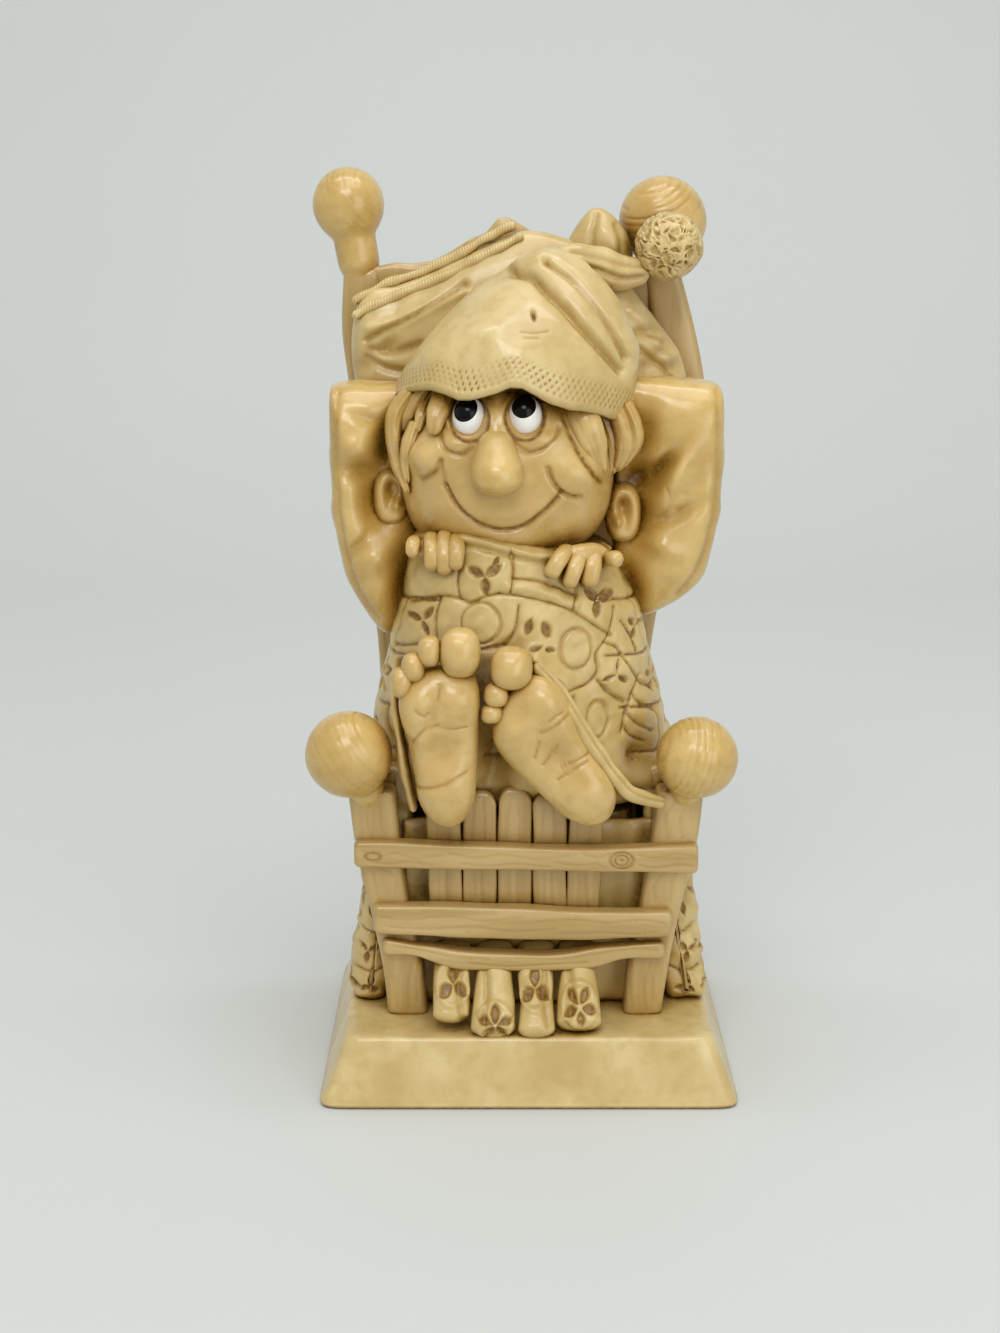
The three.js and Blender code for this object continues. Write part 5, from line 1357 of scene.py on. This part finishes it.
class SLEEPER_OT_pillow(bpy.types.Operator):
    """Makes the pillow, its pulled-up corner and the two twisted cords of its edge"""

    bl_idname = "sleeper.pillow"
    bl_label = "Pillow"

    def execute(self, context):
        cream = resin(context, "cream_resin")
        edge = [
            (-27.6, 104.5, 115.0, 2.2), (-25.3, 98.5, 117.6, 4.0), (-20.0, 93.0, 119.3, 5.2),
            (-15.0, 90.0, 121.2, 5.8), (-7.0, 88.6, 124.6, 6.0), (-0.1, 88.2, 127.2, 5.9),
            (5.0, 88.2, 126.4, 5.8), (9.9, 88.4, 124.6, 5.6), (17.9, 91.2, 116.5, 4.6),
            (22.5, 96.0, 110.5, 3.4), (25.0, 99.5, 106.8, 2.2),
        ]
        rows = [(x, 13.2, (low + high) / 2, deep, (high - low) / 2) for x, low, high, deep in edge]
        pillow = loft(rows, 170, 220, 2.3, axis=0, dome=1.8)
        creases = [
            (
                [(-25.1, 110.8), (-22.0, 112.4), (-18.2, 114.2), (-13.5, 116.9), (-9.7, 119.2)], 0.5, 0.6,
                0.6,
            ),
            ([(-24.5, 109.4), (-20.5, 109.1), (-16.6, 110.2)], 0.7, 0.7, 0.5),
            ([(-25.0, 108.2), (-22.0, 106.6), (-19.0, 106.0)], 0.7, 0.6, 0.5),
            ([(-24.4, 112.6), (-20.0, 113.6), (-15.0, 115.8), (-10.5, 118.0)], 0.9, -0.6, 0.0),
            ([(15.0, 111.5), (18.0, 112.1), (21.0, 110.6)], 0.6, 0.6, 0.5),
            ([(17.2, 109.4), (20.3, 107.1), (22.2, 105.1)], 0.6, 0.6, 0.5),
            ([(16.0, 115.0), (18.4, 112.8), (21.6, 108.0)], 0.9, -0.6, 0.0),
        ]
        for line, width, depth, stain in creases:
            pillow.carve(line, width, depth, stain)
        for middle in (
            (19.4, 112.6), (21.2, 109.2), (18.6, 107.0), (23.0, 106.8), (-25.4, 107.0), (-21.6, 110.0),
        ):
            pillow.swell(middle, (1.5, 1.1), -0.9, 0.35, "front", 25)
        pillow.roughen(0.22, 10, 120)
        corner = pebble(
            [
                (5.2, 123.0), (6.2, 125.8), (7.8, 128.4), (9.5, 130.3), (11.0, 130.6), (12.6, 129.8),
                (14.1, 128.3), (15.5, 126.2), (16.2, 122.6), (14.8, 119.0), (10.4, 117.8), (6.4, 119.2),
            ],
            (10.8, 13.6, 123.6), (3.6, 3.4), 2.1, 70, 140,
        )
        corner.swell((12.6, 126.0), (1.6, 3.2), 0.7, 0.0, "front", 25)
        corner.carve([(10.4, 129.4), (9.8, 126.6), (9.9, 122.6)], 0.6, 0.5, 0.35)
        corner.carve([(13.4, 128.0), (14.2, 125.6), (14.2, 122.6)], 0.5, 0.4, 0.35)
        add_piece("pillow_case", [pillow, corner], cream, ["pillow"])

        # Twisted cord: three strands, so the radius swells by the size of cos(1.5 * angle - twist) round it
        pitch = mm(context.scene.sleeper_sizes.rope_pitch)
        cords = {
            "front": (
                [
                    (-27.0, 114.6), (-22.8, 116.6), (-18.1, 118.4), (-12.0, 120.9), (-7.4, 123.2),
                    (-3.5, 125.3), (-0.8, 126.6),
                ],
                (10.0, 10.9),
            ),
            "back": (
                [
                    (-27.2, 116.6), (-22.1, 119.2), (-16.7, 121.0), (-12.1, 122.9), (-8.2, 125.1),
                    (-4.3, 127.3), (-1.9, 128.2),
                ],
                (12.2, 12.6),
            ),
        }
        for word, (flat, depth) in cords.items():
            flat = np.array(flat)
            path = np.stack([flat[:, 0], np.linspace(*depth, len(flat)), flat[:, 1] - 0.2], -1)
            # Points round the cord, and the step from ring to ring in millimetres
            around, step = 30, 0.075
            cord = tube(path, (0.6, 0.8, 0.65), around, 420, 1.0)
            index = np.arange(len(cord.points) - 2)
            twist = np.append((index // around) * step * 2 * np.pi / pitch, [0, 0])
            angle = np.append((index % around) * 2 * np.pi / around, [0, 0])
            strand = np.abs(np.cos(1.5 * angle - twist))
            uneven = 0.26 * lumps(cord.points, 3.8, 121)
            cord.push(0.09 * strand - 0.04 + uneven, 0.45 * (1 - strand) ** 2)
            add_piece(f"edge_cord_{word}", [cord], cream, [f"pillow_cord_{word}"])
        return {"FINISHED"}


def patched(skin, sizes, seams, loops, leaves, view="front"):
    """Carves patchwork: seams between patches, oval patches, and leaf cuts, drawn in one view."""
    width = mm(sizes.seam)
    depth = mm(sizes.seam_depth)
    for line in seams:
        skin.carve(line, 4 * width, 0.4 * depth, 0.08, view)
    skin.face()
    for line in seams:
        skin.carve(line, width, depth, 0.85, view)
    for middle, half in loops:
        skin.loop(middle, half, width, depth, 0.55, view)
    for middle, half, turn in leaves:
        skin.leaf(middle, half, turn, 0.55, 0.85, view)


def petals(flowers):
    """Leaf cuts set round middles like the petals of flowers. Each flower gives its middle, its count of
    petals, how far they lie from the middle, their half widths, and the first one's angle in degrees."""
    cuts = []
    for (x, z), count, reach, half, start in flowers:
        for turn in start + np.arange(count) * 360 / count:
            place = (x + reach * np.cos(np.radians(turn)), z + reach * np.sin(np.radians(turn)))
            cuts.append((place, half, float(turn)))
    return cuts


class SLEEPER_OT_quilt(bpy.types.Operator):
    """Makes the patchwork quilt over the sleeper and the rolled border over the feet"""

    bl_idname = "sleeper.quilt"
    bl_label = "Quilt"

    def execute(self, context):
        sizes = context.scene.sleeper_sizes
        finish = resin(context, "quilt_resin")
        rows = [
            (41.7, -0.5, 1.0, 22.3, 13.2), (49.1, -1.0, -0.5, 22.9, 15.4), (56.6, -1.4, -1.0, 22.2, 16.4),
            (65.7, -1.5, -1.0, 19.9, 15.8), (74.4, -1.7, -0.5, 18.0, 14.6),
            (81.0, QUILT_EDGE[0], 0.0, *QUILT_EDGE[1:]), (83.6, -2.8, 0.0, 14.7, 13.3),
        ]
        quilt = loft(rows, 196, 430, QUILT_POWER, dome=1.2, blunt=True)
        # The top edge is held high at the left hand and sags to the right
        sag = [
            (-18, -0.3), (-14, 0.4), (-9.9, 0.7), (-5.8, 0.2), (-1.4, -0.9), (3.7, -1.8), (8.8, -2.4),
            (13.2, -1.9),
        ]
        sag = np.array(sag)
        lift = np.interp(quilt.points[:, 0], sag[:, 0], sag[:, 1])
        quilt.points[:, 2] += lift * np.clip((quilt.points[:, 2] - 72) / 9, 0, 1)
        quilt.face()
        border = [
            (0.6, 66.4), (3.2, 63.8), (5.9, 59.8), (8.6, 55.4), (11.2, 51.4), (13.2, 48.8), (15.0, 46.9),
            (17.5, 45.6), (20.2, 44.8),
        ]
        quilt.carve(border, 1.7, -2.4, 0.0)
        # Hollows beside and between the feet, darkened with painted shade, and soft knees
        quilt.swell((-5.4, 51.0), (2.6, 6.4), -5.5, 0.8)
        quilt.swell((-20.6, 50.0), (2.2, 6.0), -3.0, 0.7)
        quilt.swell((16.0, 44.2), (3.0, 2.0), -1.6, 0.6)
        quilt.swell((16.4, 50.4), (2.0, 2.4), -1.4, 0.8)
        # A rolled fold under the right hand, and patches that stand up a little between their seams
        quilt.carve([(-2.4, 76.7), (0.4, 76.6), (3.2, 75.6), (6.0, 74.2)], 1.2, -0.75, 0.0)
        puffs = [
            (-15.6, 71.4), (-7.2, 71.6), (1.0, 70.6), (6.9, 67.8), (12.6, 63.6), (15.2, 66.4),
            (9.8, 57.6), (17.0, 58.2), (-6.6, 78.6), (9.6, 74.6), (-14.6, 78.0), (-20.2, 63.0),
        ]
        for k, place in enumerate(puffs):
            quilt.swell(place, (2.8, 2.5), 0.28 + 0.1 * (k % 3))
        quilt.face()
        seams = [
            [(-18.0, 73.6), (-13.0, 75.1), (-10.4, 75.0), (-8.7, 74.5), (-6.6, 75.4), (-4.5, 75.9)],
            [(-4.5, 75.9), (-1.2, 75.5), (2.9, 74.5), (6.3, 73.2), (9.6, 71.0), (12.1, 69.1)],
            [(-20.4, 66.6), (-14.0, 68.2), (-9.0, 67.6), (-3.7, 68.4)],
            [(-10.4, 80.2), (-10.6, 77.2), (-10.2, 75.1)], [(-2.7, 82.0), (-2.4, 79.0), (-2.9, 76.0)],
            [(-2.6, 78.1), (0.6, 77.9), (3.8, 76.9), (6.6, 75.6)],
            [(7.0, 77.0), (6.8, 75.2), (6.4, 73.3)], [(-13.2, 75.0), (-13.9, 71.6), (-13.6, 68.2)],
            [(-1.6, 74.2), (-2.2, 70.8), (-3.7, 68.4)],
            [
                (12.7, 73.2), (12.3, 71.0), (11.5, 68.9), (9.9, 66.8), (9.9, 64.2), (8.4, 62.5),
                (5.5, 62.0),
            ],
            [(13.8, 71.0), (15.5, 68.5), (16.3, 66.3)],
            [(11.0, 68.4), (13.0, 67.4), (14.3, 65.5), (15.6, 63.3), (16.8, 61.6), (18.8, 60.2)],
            [(16.6, 62.6), (15.8, 61.0), (14.4, 57.2), (13.8, 54.6)],
            [(14.8, 57.2), (16.3, 55.5), (18.6, 53.7)], [(15.6, 60.0), (17.2, 58.2), (19.2, 56.8)],
            [(14.2, 55.4), (15.6, 53.4), (17.4, 52.2)], [(10.0, 63.0), (12.2, 60.7), (14.4, 59.2)],
        ]
        loops = [((-7.2, 71.6), (2.9, 3.0)), ((6.9, 67.8), (2.4, 2.9)), ((10.2, 57.4), (1.7, 2.5))]
        flowers = [
            ((-6.6, 78.4), 3, 1.5, (1.6, 0.95), 35), ((10.4, 74.6), 3, 1.4, (1.4, 0.85), 20),
            ((-0.2, 71.2), 1, 0, (1.5, 0.9), 70), ((2.4, 70.8), 1, 0, (1.5, 0.9), 110),
            ((0.9, 68.3), 1, 0, (1.3, 0.4), 8), ((3.0, 67.9), 1, 0, (0.8, 0.4), -20),
            ((-16.0, 71.4), 3, 1.4, (1.4, 0.6), 50), ((13.0, 63.6), 3, 1.3, (1.2, 0.5), 80),
            ((-20.4, 63.0), 3, 1.6, (1.4, 0.7), 60), ((16.2, 69.8), 3, 1.0, (1.0, 0.45), 15),
            ((-4.9, 80.6), 1, 0, (0.9, 0.4), 60), ((6.4, 61.0), 1, 0, (0.9, 0.7), -40),
            ((4.6, 63.4), 1, 0, (1.0, 0.3), -45),
        ]
        patched(quilt, sizes, seams, loops, petals(flowers))
        for view in ("left", "right"):
            seams = [
                [(-12, 74.5), (-5, 73.6), (2, 74.6), (10, 73.4)],
                [(-14, 66.4), (-6, 65.4), (2, 66.6), (12, 65.6)],
                [(-14, 58.4), (-6, 57.2), (3, 58.4), (13, 57.2)],
                [(-12, 50.6), (-4, 49.8), (4, 50.8), (12, 50.0)], [(-3.4, 81), (-3.0, 77.6), (-3.6, 74)],
                [(3.6, 74.4), (4.0, 70.2), (3.4, 66.4)], [(-6.4, 73.6), (-6.8, 69.4), (-6.2, 65.4)],
                [(-2.0, 65.8), (-1.6, 62.0), (-2.4, 57.6)], [(6.8, 66.0), (7.2, 61.8), (6.4, 57.8)],
                [(-8.2, 57.6), (-7.8, 53.8), (-8.4, 50.4)], [(2.4, 58.2), (2.8, 54.4), (2.2, 50.6)],
            ]
            loops = [((-1.4, 70.0), (2.6, 2.6)), ((2.6, 62.0), (2.4, 2.3)), ((7.4, 54.2), (2.2, 2.0))]
            flowers = [
                ((7.6, 70.2), 3, 1.5, (1.5, 0.8), 40), ((-6.2, 61.6), 5, 1.7, (1.3, 0.6), 15),
                ((-2.8, 54.0), 3, 1.4, (1.4, 0.7), 60),
            ]
            patched(quilt, sizes, seams, loops, petals(flowers), view)
        # The rolled top edge under the hands
        edge = [
            (-15.6, 82.2), (-9.9, 82.7), (-5.8, 82.1), (-1.4, 80.9), (3.7, 79.9), (8.8, 79.3),
            (12.6, 79.6),
        ]
        quilt.carve(edge, 0.4, 0.35, 0.5)
        quilt.carve([(x, z + 0.9) for x, z in edge], 0.45, -0.4, 0.0)
        quilt.push(0.2 * lumps(quilt.points, 8, 130) + 0.09 * lumps(quilt.points, 2.4, 132))
        # A strip of the quilt's edge that is tucked up along the left sole
        strip = tube(
            [(-20.2, -15.4, 63.0), (-19.4, -16.6, 56.0), (-18.3, -16.8, 49.0), (-17.2, -15.8, 43.0)],
            (0.5, 0.8, 0.9, 0.6), 32, 110, 2.2,
        )
        strip.roughen(0.12, 4, 133)
        add_piece("quilt_spread", [quilt, strip], finish, ["quilt_cover"])

        flat = np.array(border)
        deep = np.interp(flat[:, 0], [0, 8, 14, 20], [-19.6, -20.6, -20.2, -17.8])
        path = np.stack([flat[:, 0], deep, flat[:, 1]], -1)
        roll = tube(path, (0.8, 1.25, 1.3, 1.2, 1.0), 40, 200, 0.75)
        line = np.stack([flat[:, 0] + 0.5, flat[:, 1] + 0.3], -1)
        roll.carve(line, 0.25, 0.2, 0.5)
        roll.roughen(0.12, 4, 131)
        add_piece("quilt_rim", [roll], finish, ["quilt_border"])
        return {"FINISHED"}


class SLEEPER_OT_skirts(bpy.types.Operator):
    """Makes the quilt's hanging sides, the folds over the base and the drop behind the slats"""

    bl_idname = "sleeper.skirts"
    bl_label = "Quilt sides and folds"

    def execute(self, context):
        sizes = context.scene.sleeper_sizes
        finish = resin(context, "quilt_resin")
        # The slab of each side: where it starts on y, its length, the height of its middle, its half
        # thickness and half height, and the rounding of its edges
        start = -10.7
        length = 27.4
        level = 29.3
        thick = 3.2
        hang = 19.0
        dome = 1.2
        # The points round it, and the rings inside its front end, so that it takes carving too
        around = 260
        inner = 16
        for side, sign in (("left", -1), ("right", 1)):
            # It is drawn along y, its outer face flares going down as fall ** 1.4, and the folds are sine
            # waves that grow downwards on that face
            at, close = stations(length, dome, 140)
            thin = np.concatenate([np.linspace(0.05, 0.95, inner), np.ones(len(at))])[:, None]
            at = np.concatenate([np.full(inner, at[0]), at])
            close = np.concatenate([np.full(inner, close[0]), close])
            a, b = ring(7, around, thick, hang)
            y = start + at[:, None]
            wander = 1.3 * np.sin(7.0 * b + 1.0 + sign)
            fold = np.sin(2 * np.pi * (y + wander + 2) / 7.4)
            fold = fold + 0.35 * np.sin(2 * np.pi * (y - wander) / 3.1 + 1)
            fall = (1 - b) / 2
            lost = dome * (1 - close)[:, None]
            grid = np.zeros((len(at), around, 3))
            middle = 20.4 + 4.4 * fall**1.4
            out = (thick - lost) * a + 0.8 * fold * fall * np.maximum(a, 0)
            grid[:, :, 0] = sign * (middle + thin * out)
            grid[:, :, 1] = y
            grid[:, :, 2] = level + (hang - lost) * b
            skirt = Skin(grid)
            seams = [
                [(-8, 40.4), (-4, 39.6), (4, 40.8), (16, 39.8)],
                [(-8, 31.6), (-3, 32.4), (5, 31.4), (16, 32.2)],
                [(-8, 23.4), (-4, 22.6), (5, 23.8), (16, 22.8)],
                [(-8, 15.2), (-2, 15.8), (6, 14.8), (16, 15.6)], [(-3.4, 48), (-1.4, 44), (-3.6, 40)],
                [(6.4, 48), (6.8, 44), (6.2, 40.6)], [(1.6, 40.2), (2.0, 36.2), (1.4, 32)],
                [(10.6, 40.4), (11, 36), (10.4, 31.8)],
                [(-3.6, 32.2), (-1.6, 28.8), (-2.2, 25.6), (-4.4, 22.8)],
                [(5.0, 31.4), (5.4, 27.6), (4.8, 23.8)], [(-0.6, 22.8), (-0.2, 19.4), (-0.8, 15.6)],
                [(9.2, 23.4), (9.6, 19.2), (9.0, 15.2)], [(-3.4, 15.4), (-2.4, 12.6), (-3.4, 10.4)],
                [(3.6, 15.2), (4.0, 12.6), (3.6, 10.4)],
            ]
            loops = [((0.4, 27.4), (2.9, 2.6)), ((6.2, 36.0), (2.8, 2.6)), ((12.4, 19.2), (2.0, 2.2))]
            flowers = [
                ((1.6, 44.4), 3, 1.5, (1.5, 0.8), 30), ((-5.0, 36.2), 5, 1.7, (1.3, 0.6), 60),
                ((10.6, 27.4), 5, 1.7, (1.3, 0.6), 20), ((-5.6, 19.2), 3, 1.5, (1.5, 0.7), 90),
                ((4.4, 19.4), 2, 1.2, (1.5, 0.8), 65), ((-8.4, 27.4), 3, 1.4, (1.4, 0.7), 30),
                ((-8.6, 13.0), 3, 1.1, (1.1, 0.55), 80), ((9.6, 12.8), 3, 1.1, (1.1, 0.55), 30),
            ]
            patched(skirt, sizes, seams, loops, petals(flowers), side)
            # Seen from the front: puffed patches, the creases between them and leaf cuts
            puffs = [
                (21.2, 33.0, 1.9, 4.2), (23.0, 25.6, 2.0, 3.6), (24.4, 18.4, 2.2, 2.6),
                (24.4, 12.6, 2.4, 2.0),
            ]
            for x, z, wide, tall in puffs:
                skirt.swell((sign * x, z), (wide, tall), 0.75)
            skirt.face()
            lines = [
                [(20.0, 29.4), (21.8, 28.8), (24.0, 29.8)], [(21.0, 22.4), (23.2, 21.4), (26.0, 22.4)],
                [(21.8, 16.0), (24.2, 15.0), (27.0, 15.6)], [(22.9, 28.9), (22.2, 25.2), (23.4, 21.5)],
            ]
            seams = [[(sign * x, z) for x, z in line] for line in lines]
            flowers = [
                ((sign * 24.6, 12.6), 3, 1.0, (1.0, 0.6), 80),
                ((sign * 24.8, 18.6), 3, 1.1, (1.1, 0.55), 20),
                ((sign * 21.6, 25.8), 1, 0, (1.2, 0.5), 75), ((sign * 24.0, 25.4), 1, 0, (1.2, 0.5), 100),
            ]
            patched(skirt, sizes, seams, [], petals(flowers))
            skirt.push(0.45 * lumps(skirt.points, 7, 140) + 0.14 * lumps(skirt.points, 2.6, 141))
            add_piece(f"skirt_{side}", [skirt], finish, [f"quilt_side_{side}"])

        # Cuts on the four folds over the base, as offsets from each fold's middle
        marks = [
            ((0.3, 16.6), 3, 1.4, (1.4, 1.0), 90), ((0.2, 12.0), 5, 1.6, (1.4, 0.85), 90),
            ((-0.2, 16.2), 3, 1.4, (1.4, 0.95), 90), ((0.1, 14.2), 5, 1.6, (1.3, 0.75), 60),
        ]
        # The low end of each fold: y, z and how wide it spreads
        ends = [(-21.8, 11.2, 2.9), (-24.0, 10.2, 3.4), (-24.2, 10.0, 2.8), (-23.0, 10.6, 3.4)]
        for k in range(4):
            low, high = box_corners(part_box(f"quilt_hem_fold_{k + 1}"))
            x = (low[0] + high[0]) / 2
            y, z, wide = ends[k]
            path = [(x, -11.6, 19.6), (x, -15.4, 18.2), (x, -19.0, 15.0), (x, y, z)]
            fold = tube(path, (3.0, 2.7, wide - 0.2, wide), 100, 96, 0.62, (0, 0, 1), 2.6, 1.3)
            lean = 1.6 * (-1) ** k
            fold.carve(
                [(x + lean, 19.4), (x + 0.7 * lean, 15.8), (x + 1.2 * lean, 11.8)], 0.6, 0.45, 0.35,
            )
            cuts = petals([marks[k]])
            middle = np.mean([place for place, half, turn in cuts], 0)
            fold.loop((x + middle[0], middle[1]), (2.4, 2.6), 0.4, -0.3, 0.0)
            for middle, half, turn in cuts:
                fold.leaf((middle[0] + x, middle[1]), half, turn, 0.6, 0.85)
            fold.roughen(0.14, 6, 150 + k)
            # Its underside is cut off level
            fold.points[:, 2] = np.maximum(fold.points[:, 2], 8.8)
            add_piece(f"hem_fold_{k + 1}", [fold], finish, [f"quilt_hem_fold_{k + 1}"])

        # The drop is wider at its top: past the half width of its foot its lower edge climbs
        wide = 19.2
        top = 40
        x = np.linspace(-wide, wide, 33)
        foot = np.interp(np.abs(x), [16.6, wide], [10.2, 34.0])
        bend = -10.8 + 0.3 * np.sin(1.1 * x)
        half_thick = np.full_like(x, 1.1)
        rows = np.stack([x, bend, (top + foot) / 2, half_thick, (top - foot) / 2], -1)
        drop = loft(rows, 110, 80, 7, axis=0, dome=0.6, blunt=True)
        drop.roughen(0.1, 7, 160)
        add_piece("foot_drop", [drop], finish, ["quilt_foot_drop"])
        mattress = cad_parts["mattress"]
        mattress.data.materials.clear()
        mattress.data.materials.append(resin(context, "cream_resin"))
        return {"FINISHED"}


class SLEEPER_OT_stage(bpy.types.Operator):
    """Makes the pale floor that curves up behind, the soft lights and the camera"""

    bl_idname = "sleeper.stage"
    bl_label = "Stage"

    def execute(self, context):
        scene = context.scene
        # Floor profile in metres: flat, then a quarter circle, then a wall
        turn = np.linspace(0, np.pi / 2, 24)
        y = np.concatenate([[-1.2, -0.4, 0.1], 0.35 + 0.3 * np.sin(turn), [0.65]])
        z = np.concatenate([[0.0, 0.0, 0.0], 0.3 - 0.3 * np.cos(turn), [1.6]])
        x = np.linspace(-1.4, 1.4, 15)
        points = np.stack(np.broadcast_arrays(x[None, :], y[:, None], z[:, None]), -1)
        here = np.arange(points[..., 0].size).reshape(points.shape[:2])
        quads = np.stack([here[:-1, :-1], here[:-1, 1:], here[1:, 1:], here[1:, :-1]], -1)
        mesh = bpy.data.meshes.new("floor")
        mesh.from_pydata(points.reshape(-1, 3).tolist(), [], quads.reshape(-1, 4).tolist())
        mesh.polygons.foreach_set("use_smooth", np.ones(len(mesh.polygons), bool))
        mesh.materials.append(card_finish("matt_card", tuple(scene.sleeper_colours.card)))
        floor = bpy.data.objects.new("floor", mesh)
        scene.collection.objects.link(floor)

        world = bpy.data.worlds.new("soft_room")
        scene.world = world
        world.use_nodes = True
        sky = world.node_tree.nodes["Background"]
        sky.inputs["Color"].default_value = (1.0, 0.99, 0.96, 1)
        sky.inputs["Strength"].default_value = 0.54
        # Lamps: place, aim, width, height and power
        lamps = {
            "key": ((-0.08, -0.46, 0.52), (0, 0, 0.07), 0.3, 0.18, 1.0),
            "top": ((0.05, -0.2, 0.75), (0, 0, 0.05), 0.5, 0.4, 1.3),
            "fill": ((0.32, -0.5, 0.2), (0, 0, 0.07), 0.4, 0.4, 0.8),
            "wall": ((0.0, 0.1, 1.0), (0, 0.65, 0.4), 0.9, 0.2, 2.9),
        }
        for name, (place, aim, wide, tall, power) in lamps.items():
            light = bpy.data.lights.new(name, "AREA")
            light.shape = "RECTANGLE"
            light.size = wide
            light.size_y = tall
            light.energy = power
            lamp = bpy.data.objects.new(name, light)
            scene.collection.objects.link(lamp)
            lamp.location = place
            way = np.array(aim) - np.array(place)
            flat = np.hypot(way[0], way[1])
            lamp.rotation_euler = (np.arctan2(flat, -way[2]), 0, np.arctan2(-way[0], way[1]))

        # Seen from the foot of the bed, 14 degrees downwards
        lens = bpy.data.cameras.new("camera")
        lens.lens = 52
        lens.sensor_width = 36
        camera = bpy.data.objects.new("camera", lens)
        scene.collection.objects.link(camera)
        camera.location = (-0.00433, -0.29089, 0.13378)
        camera.rotation_euler = (np.radians(90 - 14), 0, 0)
        scene.camera = camera
        scene.view_settings.view_transform = "Standard"
        return {"FINISHED"}


class SLEEPER_PT_panel(bpy.types.Panel):
    """Lists the figurine's sizes, colours and pieces"""

    bl_idname = "SLEEPER_PT_panel"
    bl_label = "Bed sleeper"
    bl_space_type = "VIEW_3D"
    bl_region_type = "UI"
    bl_category = "Sleeper"

    def draw(self, context):
        layout = self.layout
        for group in (context.scene.sleeper_sizes, context.scene.sleeper_colours):
            for key in group.__annotations__:
                layout.prop(group, key)
        for operator in OPERATORS:
            layout.operator(operator.bl_idname)


OPERATORS = (
    SLEEPER_OT_plinth, SLEEPER_OT_footboard, SLEEPER_OT_finials, SLEEPER_OT_headboard, SLEEPER_OT_feet,
    SLEEPER_OT_head, SLEEPER_OT_eyes, SLEEPER_OT_hair, SLEEPER_OT_nightcap, SLEEPER_OT_sleeves,
    SLEEPER_OT_hands, SLEEPER_OT_pillow, SLEEPER_OT_quilt, SLEEPER_OT_skirts, SLEEPER_OT_stage,
)
CLASSES = (SleeperSizes, SleeperColours) + OPERATORS + (SLEEPER_PT_panel,)


def register():
    """Registers the classes and hangs the two property groups on the scene."""
    for item in CLASSES:
        bpy.utils.register_class(item)
    bpy.types.Scene.sleeper_sizes = bpy.props.PointerProperty(type=SleeperSizes)
    bpy.types.Scene.sleeper_colours = bpy.props.PointerProperty(type=SleeperColours)


def unregister():
    """Takes the property groups off the scene and unregisters the classes."""
    del bpy.types.Scene.sleeper_colours
    del bpy.types.Scene.sleeper_sizes
    for item in reversed(CLASSES):
        bpy.utils.unregister_class(item)


def main():
    register()
    bpy.ops.sleeper.plinth()
    bpy.ops.sleeper.footboard()
    bpy.ops.sleeper.finials()
    bpy.ops.sleeper.headboard()
    bpy.ops.sleeper.feet()
    bpy.ops.sleeper.head()
    bpy.ops.sleeper.eyes()
    bpy.ops.sleeper.hair()
    bpy.ops.sleeper.nightcap()
    bpy.ops.sleeper.sleeves()
    bpy.ops.sleeper.hands()
    bpy.ops.sleeper.pillow()
    bpy.ops.sleeper.quilt()
    bpy.ops.sleeper.skirts()
    bpy.ops.sleeper.stage()


if __name__ == "__main__":
    main()
